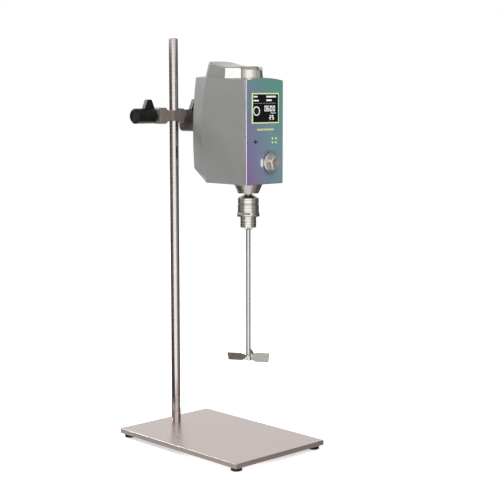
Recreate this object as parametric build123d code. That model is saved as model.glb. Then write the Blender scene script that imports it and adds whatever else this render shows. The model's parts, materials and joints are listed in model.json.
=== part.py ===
"""Bench overhead stirrer: a geared motor head with a keyed chuck, carried by a boss head on a rod stand.

Frame: millimetres, +Z up, origin on the bench under the middle of the base plate, front towards -Y.
"""
import os
from math import acos, cos, pi, radians, sin, tan

from build123d import *

# ---------------------------------------------------------------- clearances
RUN = 0.05            # radial running clearance of a shaft in its bore
GAP = 0.3             # gap between curved faces of pieces that move past each other
THROUGH = 1.0         # how far a cutter runs past the face it opens
DRAFT_GAP = 0.2       # loose fit of a cover or lens in its cut-out

# ---------------------------------------------------------------- stand
BASE_W, BASE_D, BASE_T = 206.0, 300.0, 8.0
BASE_CORNER_R = 3.0
BASE_EDGE_R = 0.8
FOOT_R, FOOT_H = 9.5, 7.0
FOOT_TAPER = 1.0
FOOT_INSET = 13.0
FOOT_SCREW_R, FOOT_SCREW_HEAD_R, FOOT_SCREW_HEAD_H = 2.0, 3.8, 2.4
FOOT_SCREW_BITE = 5.0
FOOT_SEAT = 3.0       # rubber left between the screw head and the plate
ROD_R, ROD_H = 8.0, 681.0
ROD_EDGE = 33.0       # rod axis to the rear edge of the plate
ROD_CHAMFER = 1.0
BOLT_R, BOLT_HEAD_AF, BOLT_HEAD_H = 4.0, 13.0, 3.6
BOLT_BITE = 22.0
WASHER_R, WASHER_T = 9.0, 1.6

PLATE_Z = FOOT_H + BASE_T
ROD_Y = BASE_D / 2 - ROD_EDGE

# ---------------------------------------------------------------- boss head and its knobs
CLAMP_Z = 563.0       # height of both clamp screws
BUSH_WALL = 1.5
WAIST_X, WAIST_D, WAIST_H = 16.0, 26.0, 18.0
LOBE_NEAR, LOBE_FAR = 22.0, 40.0        # left lobe, distances from the rod axis
LOBE_D, LOBE_H = 21.0, 28.0
LOBE_EDGE_R = 3.5
RIGHT_NEAR, RIGHT_FAR = 2.5, 15.5       # right lobe, distances from the rod axis
RIGHT_D, RIGHT_H = 26.0, 25.0
PIVOT_R = 12.0        # round boss at the end of the right lobe, for the tilting arm
SCREW_R = 5.0
PAD_R, PAD_T = 4.6, 3.0
HUB_R, HUB_L = 13.0, 45.0
HUB_STANDOFF = 5.0    # knob hub to the casting
HUB_CHAMFER = 2.5
HUB_DIMPLE_R, HUB_DIMPLE_D = 8.0, 1.0
WING_REACH = 28.0     # wing tip from the screw axis
WING_ROOT, WING_TIP, WING_T = 25.0, 9.0, 8.0
WING_OFFSET = 10.0    # wing centre from the hub centre, towards the casting
WING_CORNER_R = 2.0
WING_RIBS, WING_RIB_R = 3, 0.8
KNOB_SOCKET = 24.0    # screw length held in the knob
TILT_WASHER_T, TILT_WASHER_R = 1.0, 11.0
LOCK_NUT_BITE = 8.0   # tilt screw length in the casting

# ---------------------------------------------------------------- head: places
HEAD_X = 28.0         # centre plane of the head and its arm
SHAFT_Y = -41.5       # stirring shaft axis
HEAD_Z = 451.0        # underside of the housing
ARM_DROP = 19.0       # arm axis below the clamp screws
ARM_R = 8.9
ARM_TAIL = 9.0        # arm end behind the rod axis
EYE_R = 10.5
EYE_W = 2 * ARM_R
FLANGE_R, FLANGE_T = 21.0, 6.0
FLANGE_PCD = 31.0
FLANGE_SCREW_R, FLANGE_SCREW_HEAD_R, FLANGE_SCREW_HEAD_H = 2.0, 3.4, 2.6
FLANGE_SCREW_L = 12.0

# ---------------------------------------------------------------- head: housing
HEAD_W = 84.8
HEAD_H = 171.0        # underside to the side edge of the roof, at the front
ROOF_CROWN = 4.0      # roof rise from the side edges to the middle
ROOF_FALL = 3.0       # slope of the roof towards the front, in degrees
ROOF_BREAK = 58.0     # highest line of the roof behind the shaft axis
REAR_FALL = 1.5       # slope of the roof towards the rear, in degrees
DRUM_SPAN = 5         # roof cutter length in head widths
FRONT_REACH = 40.0    # shaft axis to the face of the front plate
FRONT_T = 4.0
WALL = 3.0
REAR_W = 58.0         # width of the narrow rear face
SIDE_REAR = (58.5, 61.4, 70.0, 52.0)    # side corner line behind the axis: bottom, knee, bow, top
BACK_REAR = (75.3, 104.1, 106.8, 96.0)  # rear face behind the axis: bottom, knee, bow, top
KNEE_H = 22.0         # top of the lower rear chamfer above the underside
BOW_H = 86.0          # fullest part of the rear curve above the underside
BLANK_H = 190.0       # blank height before the roof is cut
PAD_FACE = 108.5      # flat rear pad behind the shaft axis
PAD_FACE_R = 24.0
FRONT_EDGE_R = 1.2

# ---------------------------------------------------------------- head: top cap
CAP_R = 33.5          # half width and nose radius at the foot
CAP_NOSE_C = 13.0     # nose centre behind the shaft axis
CAP_REAR = 79.5       # rear wall behind the shaft axis at the foot
CAP_CORNER_R = 12.0
CAP_SIDE_DRAFT = 4.0  # lean of the sides and nose, in degrees
CAP_REAR_DRAFT = 15.0                   # lean of the rear wall, in degrees
CAP_SINK = 2.5        # cap foot below the side edge of the roof
CAP_BLANK_H = 44.0    # blank height before the swept top is cut
CAP_H = 17.0          # lowest line of the top above the roof's crest
CAP_LOW_Y = -3.0      # lowest line of the top behind the shaft axis
SWEEP_R = 262.0       # hollow of the top from front to rear
CAP_CROWN = 1.5       # fall of the top from the middle to the sides
CAP_WALL = 2.5
CAP_EDGE_R = 2.0
NOSE_JOINT = -8.8     # rear end of the bevelled nose, behind the shaft axis
BEVEL_H, BEVEL_W = 5.5, 5.0
BAND_REAR = 20.0      # polished band end behind the shaft axis
BAND_T = 1.2
BAND_LOW = 7.0        # foot of the band above the side edge of the roof
BAND_H = 13.5
LIP_T, LIP_H = 1.6, 3.6

# ---------------------------------------------------------------- head: front panel
FILM_T = 0.5
FILM_INSET = 1.0
DISPLAY_W, DISPLAY_H = 62.0, 50.0
DISPLAY_Z = 125.5     # centre above the housing's underside
BEZEL_W, BEZEL_T = 3.0, 1.2
WINDOW_T = 1.0
MODULE_T = 7.0
SCREEN_GAP = 0.3      # window to the screen behind it
MODULE_LIP = 3.0
KNOB_X, KNOB_Z = 10.0, 36.0             # control knob from the head's centre and underside
KNOB_R, KNOB_L = 16.2, 13.0
KNOB_SKIRT, KNOB_SKIRT_EDGE = 3.0, 1.0
KNOB_GRIP_R, KNOB_FACE_R = 13.4, 10.5
KNOB_BEVEL, KNOB_DISH = 1.2, 0.8
KNOB_RECESS = 2.0
KNOB_LIFT = 1.6       # knob above its ring
RING_R, RING_BORE_R, RING_T = 20.5, 9.0, 1.6
PUSH_TRAVEL = 1.0
STEM_R, STEM_SOCKET = 3.0, 10.0
BUSHING_R, BUSHING_L = 4.5, 6.0
ENCODER_W, ENCODER_T = 14.0, 7.0
KNOB_SCREW_R, KNOB_SCREW_L = 1.5, 8.0
LED_R, LED_L = 1.6, 5.0
LED_X, LED_Z = (17.0, 25.0), (69.0, 75.5)
LED_PROUD = 0.4
BOARD_W, BOARD_H, BOARD_T = 66.0, 96.0, 1.6
BOARD_Z = 120.0
BOARD_GAP = 8.0       # board behind the display module
BOARD_POST_R = 2.5
CHIP = (14.0, 2.4, 14.0)
CAPACITOR_R, CAPACITOR_L = 5.0, 9.0

# ---------------------------------------------------------------- head: drive
MODULE = 1.5
GEAR_TEETH, PINION_TEETH = 45, 15
GEAR_W, PINION_W = 10.0, 14.0
GEAR_Z = 10.0         # gear underside above the housing's underside
BACKLASH = 0.18       # tooth thinning at the pitch circle
PRESSURE = 20.0
GEAR_HOLES, GEAR_HOLE_R, GEAR_HOLE_PCR = 6, 6.0, 20.0
GEAR_HUB_R, GEAR_HUB_L = 11.0, 4.0
DECK_Z, DECK_T = 44.0, 8.0
DECK_SIDE = 5.4       # side of the deck inside the side of the housing
DECK_FRONT, DECK_REAR = 31.0, 72.0
DECK_SHOULDER = 2.0   # ledge under the upper bearing
POST_R = 3.5
POST_INSET = (9.4, 4.0)                 # posts inside the front and rear widths of the housing
POST_Y = (-25.0, 66.0)
POST_SCREW_R, POST_SCREW_HEAD_R, POST_SCREW_HEAD_H, POST_SCREW_L = 2.0, 3.5, 2.4, 14.0
MOTOR_R, MOTOR_H, MOTOR_WALL = 26.0, 82.0, 2.0
MOTOR_SHAFT_R = 4.0
ROTOR_R, ROTOR_L = 19.0, 46.0
MOTOR_NECK, MOTOR_NECK_WALL = 8.0, 4.0   # motor bearing seats
MOTOR_SCREW_R, MOTOR_SCREW_PCR, MOTOR_SCREW_L = 1.5, 18.0, 11.0
MOTOR_SCREW_HEAD_R, MOTOR_SCREW_HEAD_H = 2.8, 1.8
SPINDLE_R, NECK_R = 6.0, 6.5
BEARING_R, BEARING_W = 14.0, 8.0
BEARING_RECESS, BEARING_RING = 0.6, 2.2
BEARING_CLEAR = 1.0   # lower bearing to the hole in the housing
COLLAR_TOP_R, COLLAR_FOOT_R, COLLAR_H = 23.8, 18.2, 16.5
COLLAR_FLOOR = 5.5    # thickness under the lower bearing
COLLAR_BORE_R = 7.2
COLLAR_RIM = 3.0      # straight rim before the cone
COLLAR_SCREW_PCR, COLLAR_SCREW_R, COLLAR_SCREW_L = 18.0, 1.5, 9.0
COLLAR_SCREW_HEAD_R, COLLAR_SCREW_HEAD_H = 2.8, 1.8

# ---------------------------------------------------------------- chuck, shaft and propeller
CHUCK_TOP = 431.3
CHUCK_FLANGE_R, CHUCK_FLANGE_H = 18.0, 14.4
SHOULDER_R, SHOULDER_H = 8.8, 4.9       # cone on top of the flange
SLEEVE_R, SLEEVE_RIM_R, SLEEVE_H = 18.3, 19.3, 21.4
SLEEVE_RIM_H, SLEEVE_FLARE = 4.0, 3.0
SLEEVE_TEETH, SLEEVE_TOOTH_R = 24, 1.1
SLEEVE_POCKET_R, SLEEVE_POCKET_LIP = 16.2, 2.2
NOSE_R, NOSE_H, NOSE_CONE_H, NOSE_MOUTH_R = 13.8, 18.3, 4.4, 6.6
CHUCK_BORE_R = 5.2
KEY_HOLE_R, KEY_HOLE_DEPTH, KEY_HOLE_DROP = 3.0, 3.2, 6.0
KEY_HOLE_TURN = -148.8
JAW_R, JAW_L, JAW_TILT = 3.2, 34.0, 10.0
JAW_TIP_R = 5.5       # jaw axis from the chuck axis at the mouth
JAW_TRAVEL = 4.0
JAWS = 3
SHAFT_R = 4.0
SHAFT_FOOT_Z, SHAFT_TOP_Z = 149.0, 414.0
PROP_HUB_R, PROP_HUB_H = 6.2, 11.0
BLADES, BLADE_R, BLADE_CHORD, BLADE_T = 4, 36.0, 16.4, 1.5
BLADE_PITCH = 56.0    # blade lean from level, in degrees
BLADE_CORNER_R = 1.0
BLADE_ROOT_CHORD, BLADE_SHOULDER = 8.0, 13.0
BLADE_TURN = -147.0
GRUB_R, GRUB_L = 1.5, 2.0

# ---------------------------------------------------------------- rear electrics
REAR_Z = 45.0         # inlet and switch above the underside
SEAT_FACE = 104.4     # flat seat for both behind the shaft axis
INLET_X, INLET_W, INLET_H, INLET_DEPTH = -12.5, 27.0, 20.0, 18.0
INLET_LIP, INLET_LIP_T = 2.0, 2.0
INLET_CAVITY_W, INLET_CAVITY_H, INLET_CAVITY_D = 22.0, 15.5, 14.0
PIN_W, PIN_H, PIN_L, PIN_PITCH, PIN_RISE = 2.0, 4.0, 8.0, 7.0, 2.0
SWITCH_X, SWITCH_W, SWITCH_H, SWITCH_DEPTH = 16.5, 13.0, 19.0, 14.0
SWITCH_LIP, SWITCH_LIP_T, SWITCH_WALL = 1.4, 1.6, 1.4
ROCKER_TILT = 7.0     # rocker angle each side of level
ROCKER_R = 11.5       # radius of the rocker's curved face about its pin
ROCKER_PIN_R = 1.0
ROCKER_DISH_R, ROCKER_DISH_LIFT = 13.8, 21.85       # hollow in the rocker's face
ROCKER_DEPTH = 6.0    # rocker pin below the seat face

# ---------------------------------------------------------------- derived places
FRONT_Y = SHAFT_Y - FRONT_REACH         # face of the front plate
CAP_FOOT = HEAD_Z + HEAD_H - CAP_SINK
CAP_TOP = HEAD_Z + HEAD_H + ROOF_CROWN + FRONT_REACH * tan(radians(ROOF_FALL)) + CAP_H
SHELL_Y = FRONT_Y + FRONT_T             # front rim of the shell
ARM_Z = CLAMP_Z - ARM_DROP
ARM_LEFT = HEAD_X - EYE_W / 2
PIVOT_FACE = ARM_LEFT - TILT_WASHER_T   # end face of the round boss
SCREW_END = PIVOT_FACE - LOCK_NUT_BITE
MOTOR_Y = SHAFT_Y + MODULE * (GEAR_TEETH + PINION_TEETH) / 2
DECK_UNDER = HEAD_Z + DECK_Z
DECK_W = HEAD_W - 2 * DECK_SIDE
POST_X = (HEAD_W / 2 - POST_INSET[0], REAR_W / 2 - POST_INSET[1])
COLLAR_Z = HEAD_Z - COLLAR_H
BEARING_Z = COLLAR_Z + COLLAR_FLOOR
SLEEVE_TOP = CHUCK_TOP - CHUCK_FLANGE_H - GAP
SLEEVE_Z = SLEEVE_TOP - SLEEVE_H
NOSE_Z = SLEEVE_Z - NOSE_H
MOUTH_Z = NOSE_Z - NOSE_CONE_H
KNOB_FACE_Y = FRONT_Y - FILM_T - RING_T - KNOB_LIFT
ON_SHAFT = Pos(HEAD_X, SHAFT_Y, 0)
ON_MOTOR = Pos(HEAD_X, MOTOR_Y, 0)


# ---------------------------------------------------------------- helpers
def rod(radius, length, base):
    """Upright cylinder standing on a point (x, y, z)."""
    return Pos(*base) * Cylinder(radius, length, align=(Align.CENTER, Align.CENTER, Align.MIN))


def rod_x(radius, x0, x1, y, z):
    """Cylinder along X between two stations."""
    return Pos(min(x0, x1), y, z) * Rot(0, 90, 0) * rod(radius, abs(x1 - x0), (0, 0, 0))


def rod_y(radius, y0, y1, x, z):
    """Cylinder along Y between two stations."""
    return Pos(x, min(y0, y1), z) * Rot(-90, 0, 0) * rod(radius, abs(y1 - y0), (0, 0, 0))


def block(x0, x1, y0, y1, z0, z1):
    """Box between two corners."""
    size = (x1 - x0, y1 - y0, z1 - z0)
    return Pos((x0 + x1) / 2, (y0 + y1) / 2, (z0 + z1) / 2) * Box(*size)


def turned(points):
    """Solid of revolution about Z from (radius, height) points."""
    outline = Polyline(*[(r, 0, z) for r, z in points], close=True)
    return revolve(make_face(outline), Axis.Z)


def hexagon(across_flats, height, base):
    """Upright hexagonal prism."""
    prism = extrude(RegularPolygon(across_flats / 2, 6, major_radius=False), height)
    return Pos(*base) * prism


def pan_screw(radius, length, head_r, head_h):
    """Screw pointing down -Z with the underside of its head at z = 0 and a cross recess."""
    head = turned([(0, 0), (head_r, 0), (head_r, head_h * 0.55), (head_r * 0.7, head_h), (0, head_h)])
    slot = Box(head_r * 1.1, head_r * 0.28, head_h)
    cross = Pos(0, 0, head_h) * (slot + Rot(0, 0, 90) * slot)
    return head + rod(radius, length, (0, 0, -length)) - cross


def around(count, shape, start=0.0):
    """Copies of a shape turned about Z."""
    return [Rot(0, 0, start + 360.0 * i / count) * shape for i in range(count)]


def save(name, shape):
    """Write one named piece, or a group of equal pieces."""
    if isinstance(shape, (list, tuple)):
        shape = Compound(children=[solid for piece in shape for solid in piece.solids()])
    export_step(shape, f"parts/{name}.step")


# ---------------------------------------------------------------- stand
def foot_places():
    """Centres of the four feet."""
    x, y = BASE_W / 2 - FOOT_INSET, BASE_D / 2 - FOOT_INSET
    return [(sx * x, sy * y) for sx in (-1, 1) for sy in (-1, 1)]


def base_plate():
    plate = extrude(RectangleRounded(BASE_W, BASE_D, BASE_CORNER_R), BASE_T)
    plate = fillet(plate.faces().sort_by(Axis.Z)[-1].edges(), BASE_EDGE_R)
    plate = Pos(0, 0, FOOT_H) * plate
    plate -= rod(BOLT_R + RUN, BASE_T + 2 * THROUGH, (0, ROD_Y, FOOT_H - THROUGH))
    for x, y in foot_places():
        plate -= rod(FOOT_SCREW_R + RUN, FOOT_SCREW_BITE + THROUGH, (x, y, FOOT_H - THROUGH))
    return plate


def base_feet():
    bore, seat = FOOT_SCREW_R + RUN, FOOT_SCREW_HEAD_R + DRAFT_GAP
    profile = [(bore, FOOT_H), (FOOT_R - FOOT_TAPER, FOOT_H), (FOOT_R, 1.0), (FOOT_R - 1.0, 0)]
    profile += [(seat, 0), (seat, FOOT_H - FOOT_SEAT), (bore, FOOT_H - FOOT_SEAT)]
    foot = turned(profile)
    return [Pos(x, y, 0) * foot for x, y in foot_places()]


def foot_screws():
    reach = FOOT_SEAT + FOOT_SCREW_BITE
    screw = Rot(180, 0, 0) * pan_screw(FOOT_SCREW_R, reach, FOOT_SCREW_HEAD_R, FOOT_SCREW_HEAD_H)
    return [Pos(x, y, FOOT_H - FOOT_SEAT) * screw for x, y in foot_places()]


def stand_rod():
    post = rod(ROD_R, ROD_H, (0, ROD_Y, PLATE_Z))
    post = chamfer(post.edges().filter_by(GeomType.CIRCLE).sort_by(Axis.Z)[-1], ROD_CHAMFER)
    return post - rod(BOLT_R + RUN, BOLT_BITE + THROUGH, (0, ROD_Y, PLATE_Z - THROUGH))


def rod_bolt():
    under = FOOT_H - WASHER_T
    head = hexagon(BOLT_HEAD_AF, BOLT_HEAD_H, (0, ROD_Y, under - BOLT_HEAD_H))
    return head + rod(BOLT_R, WASHER_T + BASE_T + BOLT_BITE, (0, ROD_Y, under))


def rod_washer():
    disc = rod(WASHER_R, WASHER_T, (0, ROD_Y, FOOT_H - WASHER_T))
    return disc - rod(BOLT_R + RUN, WASHER_T + 2 * THROUGH, (0, ROD_Y, FOOT_H - WASHER_T - THROUGH))


# ---------------------------------------------------------------- boss head
def rod_bush():
    """Thin liner between the rod and the casting: it travels with the clamp and lets it swing."""
    low = CLAMP_Z - WAIST_H / 2
    ring = rod(ROD_R + RUN + BUSH_WALL, WAIST_H, (0, ROD_Y, low))
    return ring - rod(ROD_R + RUN, WAIST_H + 2 * THROUGH, (0, ROD_Y, low - THROUGH))


def boss_head():
    """Casting with a waisted middle round the rod, a square screw lobe and a round pivot boss."""
    half_h, half_d = WAIST_H / 2, WAIST_D / 2
    waist = block(-WAIST_X, WAIST_X, ROD_Y - half_d, ROD_Y + half_d, CLAMP_Z - half_h, CLAMP_Z + half_h)
    waist = fillet(waist.edges().filter_by(Axis.Z), LOBE_EDGE_R * 2)
    lobe_box = block(-LOBE_FAR, -LOBE_NEAR, ROD_Y - LOBE_D / 2, ROD_Y + LOBE_D / 2,
                     CLAMP_Z - LOBE_H / 2, CLAMP_Z + LOBE_H / 2)
    lobe = fillet(lobe_box.edges(), LOBE_EDGE_R)
    neck_wide = Plane((-LOBE_NEAR - LOBE_EDGE_R, ROD_Y, CLAMP_Z), z_dir=(1, 0, 0), x_dir=(0, 1, 0))
    neck_slim = Plane((-WAIST_X / 2, ROD_Y, CLAMP_Z), z_dir=(1, 0, 0), x_dir=(0, 1, 0))
    wide = neck_wide * RectangleRounded(LOBE_D, LOBE_H - LOBE_EDGE_R, LOBE_EDGE_R)
    slim = neck_slim * RectangleRounded(LOBE_D, WAIST_H * 0.7, LOBE_EDGE_R)
    neck = loft([wide, slim])
    right_box = block(RIGHT_NEAR, RIGHT_FAR, ROD_Y - RIGHT_D / 2, ROD_Y + RIGHT_D / 2,
                      CLAMP_Z - RIGHT_H / 2, CLAMP_Z + RIGHT_H / 2)
    right_lobe = fillet(right_box.edges(), LOBE_EDGE_R)
    pivot = rod_x(PIVOT_R, 0, PIVOT_FACE, ROD_Y, CLAMP_Z)
    pivot = chamfer(pivot.edges().filter_by(GeomType.CIRCLE).sort_by(Axis.X)[-1], ROD_CHAMFER)
    body = waist + lobe + neck + right_lobe + pivot
    body -= rod(ROD_R + 2 * RUN + BUSH_WALL, LOBE_H * 2, (0, ROD_Y, CLAMP_Z - LOBE_H))
    body -= rod_x(SCREW_R + RUN, -LOBE_FAR - THROUGH, -ROD_R, ROD_Y, CLAMP_Z)
    return body - rod_x(SCREW_R + RUN, SCREW_END, PIVOT_FACE + THROUGH, ROD_Y, CLAMP_Z)


def pressure_pad():
    """Brass pad between the screw tip and the liner, hollowed to the liner's curve."""
    start = ROD_R + 2 * RUN + BUSH_WALL
    pad = rod_x(PAD_R, -start - PAD_T, -start + THROUGH, ROD_Y, CLAMP_Z)
    return pad - rod(start, LOBE_H, (0, ROD_Y, CLAMP_Z - LOBE_H / 2))


def wing_knob():
    """Barrel knob along +X from x = 0 with one ribbed thumb wing standing up."""
    hub = rod_x(HUB_R, 0, HUB_L, 0, 0)
    hub = chamfer(hub.edges().filter_by(GeomType.CIRCLE), HUB_CHAMFER)
    middle = HUB_L / 2 - WING_OFFSET
    root, tip = WING_ROOT / 2, WING_TIP / 2
    outline = Polyline((middle - root, 0, HUB_R * 0.7), (middle - tip, 0, WING_REACH),
                       (middle + tip, 0, WING_REACH), (middle + root, 0, HUB_R * 0.7), close=True)
    wing = extrude(make_face(outline), WING_T / 2, both=True)
    wing = fillet(wing.edges().filter_by(Axis.Y).sort_by(Axis.Z)[-2:], WING_CORNER_R)
    for i in range(WING_RIBS):
        x = middle + (i - (WING_RIBS - 1) / 2) * WING_TIP / WING_RIBS
        for side in (-1, 1):
            wing -= Pos(x, side * WING_T / 2, HUB_R) * rod(WING_RIB_R, WING_REACH, (0, 0, 0))
    knob = hub + wing
    knob -= rod_x(HUB_DIMPLE_R, HUB_L - HUB_DIMPLE_D, HUB_L + THROUGH, 0, 0)
    return knob - rod_x(SCREW_R + RUN, -THROUGH, KNOB_SOCKET, 0, 0)


def rod_clamp_knob():
    return Pos(-LOBE_FAR - HUB_STANDOFF, ROD_Y, CLAMP_Z) * mirror(wing_knob(), about=Plane.YZ)


def rod_clamp_screw():
    tip = -ROD_R - 2 * RUN - BUSH_WALL - PAD_T
    tail = -LOBE_FAR - HUB_STANDOFF - KNOB_SOCKET
    return rod_x(SCREW_R, tail, tip, ROD_Y, CLAMP_Z)


def tilt_washer():
    disc = rod_x(TILT_WASHER_R, PIVOT_FACE, ARM_LEFT, ROD_Y, CLAMP_Z)
    return disc - rod_x(SCREW_R + RUN, PIVOT_FACE - THROUGH, ARM_LEFT + THROUGH, ROD_Y, CLAMP_Z)


def tilt_lock_screw():
    return rod_x(SCREW_R, SCREW_END, ARM_LEFT + EYE_W + KNOB_SOCKET + GAP, ROD_Y, CLAMP_Z)


def tilt_lock_knob():
    return Pos(ARM_LEFT + EYE_W + GAP, ROD_Y, CLAMP_Z) * wing_knob()


# ---------------------------------------------------------------- arm
def head_arm():
    """Forged arm: round bar, upright eye at the rod end, bolting flange at the head end."""
    flange_face = SHAFT_Y + PAD_FACE
    bar = rod_y(ARM_R, flange_face, ROD_Y + ARM_TAIL, HEAD_X, ARM_Z)
    bar = chamfer(bar.edges().filter_by(GeomType.CIRCLE).sort_by(Axis.Y)[-1], ROD_CHAMFER)
    flange = rod_y(FLANGE_R, flange_face, flange_face + FLANGE_T, HEAD_X, ARM_Z)
    flange = chamfer(flange.edges().filter_by(GeomType.CIRCLE).sort_by(Axis.Y)[-1], ROD_CHAMFER)
    eye = rod_x(EYE_R, ARM_LEFT, ARM_LEFT + EYE_W, ROD_Y, CLAMP_Z)
    web = block(ARM_LEFT, ARM_LEFT + EYE_W, ROD_Y - EYE_R, ROD_Y + EYE_R * 0.8, ARM_Z, CLAMP_Z)
    arm = bar + flange + eye + web
    arm -= rod_x(SCREW_R + RUN, ARM_LEFT - THROUGH, ARM_LEFT + EYE_W + THROUGH, ROD_Y, CLAMP_Z)
    for hole in flange_holes(FLANGE_SCREW_R + RUN, FLANGE_T + 2 * THROUGH, flange_face - THROUGH):
        arm -= hole
    return arm


def flange_angles():
    return [45.0, 135.0, 225.0, 315.0]


def flange_spots():
    """Centres (x, z) of the four arm screws."""
    r = FLANGE_PCD / 2
    return [(HEAD_X + r * cos(radians(a)), ARM_Z + r * sin(radians(a))) for a in flange_angles()]


def flange_holes(radius, length, y):
    return [rod_y(radius, y, y + length, x, z) for x, z in flange_spots()]


def arm_screws():
    screw = Rot(-90, 0, 0) * pan_screw(FLANGE_SCREW_R, FLANGE_SCREW_L, FLANGE_SCREW_HEAD_R,
                                       FLANGE_SCREW_HEAD_H)
    return [Pos(x, SHAFT_Y + PAD_FACE + FLANGE_T, z) * screw for x, z in flange_spots()]


# ---------------------------------------------------------------- housing
def head_section(x, rear, inset):
    """Side outline of the head in the plane at x: front, underside, rear chamfer, bowed rear, blank top."""
    bottom, knee, bow, top = [SHAFT_Y + y - inset for y in rear]
    low = HEAD_Z + inset
    front = SHELL_Y if inset == 0 else SHELL_Y - THROUGH
    blank = HEAD_Z + BLANK_H
    with BuildSketch(Plane((x, 0, 0), z_dir=(1, 0, 0), x_dir=(0, 1, 0))) as sketch:
        with BuildLine():
            Line((front, blank), (front, low))
            Line((front, low), (bottom, low))
            Line((bottom, low), (knee, HEAD_Z + KNEE_H))
            ThreePointArc((knee, HEAD_Z + KNEE_H), (bow, HEAD_Z + BOW_H), (top, blank))
            Line((top, blank), (front, blank))
        make_face()
    return sketch.sketch


def head_blank(inset):
    """Head form lofted from side outline to rear outline and back, before the roof is cut."""
    half, narrow = HEAD_W / 2 - inset, REAR_W / 2 - inset / 2
    stations = [(-half, SIDE_REAR), (-narrow, BACK_REAR), (narrow, BACK_REAR), (half, SIDE_REAR)]
    sections = [head_section(HEAD_X + x, rear, inset) for x, rear in stations]
    return loft(sections, ruled=True)


def roof_tool(inset):
    """Crowned roof: two large cylinders that meet in the highest line and fall to the front and rear."""
    half = HEAD_W / 2
    radius = (half ** 2 + ROOF_CROWN ** 2) / (2 * ROOF_CROWN)
    drum = Pos(0, 0, -radius) * Rot(-90, 0, 0) * Cylinder(radius - inset, HEAD_W * DRUM_SPAN)
    ridge = Pos(HEAD_X, SHAFT_Y + ROOF_BREAK, roof_height(ROOF_BREAK + FRONT_REACH))
    return (ridge * Rot(ROOF_FALL, 0, 0) * drum) & (ridge * Rot(-REAR_FALL, 0, 0) * drum)


def roof_height(back):
    """Height of the crest line at a distance behind the front face."""
    return HEAD_Z + HEAD_H + ROOF_CROWN + back * tan(radians(ROOF_FALL))


def housing_shell():
    shell = head_blank(0) & roof_tool(0)
    pad_y = SHAFT_Y + PAD_FACE
    shell += rod_y(PAD_FACE_R, pad_y - WALL * 3, pad_y, HEAD_X, ARM_Z) & head_side_clip()
    shell -= head_blank(WALL) & roof_tool(WALL)
    seat = SHAFT_Y + SEAT_FACE
    for x, w, h, lip in ((INLET_X, INLET_W, INLET_H, INLET_LIP), (SWITCH_X, SWITCH_W, SWITCH_H, SWITCH_LIP)):
        cx, cz = HEAD_X + x, HEAD_Z + REAR_Z
        half_w, half_h = w / 2 + lip + DRAFT_GAP, h / 2 + lip + DRAFT_GAP
        shell -= block(cx - half_w, cx + half_w, seat, seat + WALL * 3, cz - half_h, cz + half_h)
        shell -= block(cx - w / 2 - DRAFT_GAP, cx + w / 2 + DRAFT_GAP, seat - WALL * 3, seat + WALL,
                       cz - h / 2 - DRAFT_GAP, cz + h / 2 + DRAFT_GAP)
    shell -= rod(BEARING_R + BEARING_CLEAR, WALL + 2 * THROUGH, (HEAD_X, SHAFT_Y, HEAD_Z - THROUGH))
    for spot in around(4, Pos(COLLAR_SCREW_PCR, 0, 0) * rod(COLLAR_SCREW_R + RUN, WALL * 3, (0, 0, -WALL)), 45):
        shell -= Pos(HEAD_X, SHAFT_Y, HEAD_Z) * spot
    for hole in flange_holes(FLANGE_SCREW_R + RUN, WALL * 4, SHAFT_Y + PAD_FACE - WALL * 4 + THROUGH):
        shell -= hole
    return shell.solids().sort_by(SortBy.VOLUME)[-1]


def head_side_clip():
    """Keeps the rear pad inside the head's own height."""
    return block(HEAD_X - HEAD_W / 2, HEAD_X + HEAD_W / 2, SHAFT_Y, SHAFT_Y + PAD_FACE + THROUGH,
                 HEAD_Z, HEAD_Z + HEAD_H)


def front_outline(inset):
    """Front view of the head: straight sides and the crowned roof, in the XZ plane."""
    half, top = HEAD_W / 2 - inset, HEAD_Z + HEAD_H - inset
    with BuildSketch(Plane((HEAD_X, 0, 0), z_dir=(0, -1, 0), x_dir=(1, 0, 0))) as sketch:
        with BuildLine():
            Line((-half, top), (-half, HEAD_Z + inset))
            Line((-half, HEAD_Z + inset), (half, HEAD_Z + inset))
            Line((half, HEAD_Z + inset), (half, top))
            ThreePointArc((half, top), (0, top + ROOF_CROWN), (-half, top))
        make_face()
    return sketch.sketch


def front_slab(inset, y0, y1):
    """The front outline given a thickness between two Y stations."""
    return Pos(0, y1, 0) * extrude(front_outline(inset), y1 - y0)


def display_block(w, h, y0, y1):
    cz = HEAD_Z + DISPLAY_Z
    return block(HEAD_X - w / 2, HEAD_X + w / 2, y0, y1, cz - h / 2, cz + h / 2)


def led_spots():
    return [(HEAD_X + x, HEAD_Z + z) for x in LED_X for z in LED_Z]


def panel_cuts(body, slack):
    """Cut-outs that the front plate and its film share."""
    body -= display_block(DISPLAY_W, DISPLAY_H, FRONT_Y - BASE_T, SHELL_Y + THROUGH)
    body -= rod_y(BUSHING_R + slack, FRONT_Y - BASE_T, SHELL_Y + THROUGH, HEAD_X + KNOB_X, HEAD_Z + KNOB_Z)
    for x, z in led_spots():
        body -= rod_y(LED_R + slack, FRONT_Y - BASE_T, SHELL_Y + THROUGH, x, z)
    return body


def front_plate():
    plate = front_slab(0, FRONT_Y, SHELL_Y)
    rim = plate.faces().sort_by(Axis.Y)[0].edges()
    plate = chamfer(rim, FRONT_EDGE_R / 2)
    return panel_cuts(plate, RUN)


def panel_film():
    return panel_cuts(front_slab(FILM_INSET, FRONT_Y - FILM_T, FRONT_Y), RUN)


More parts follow.
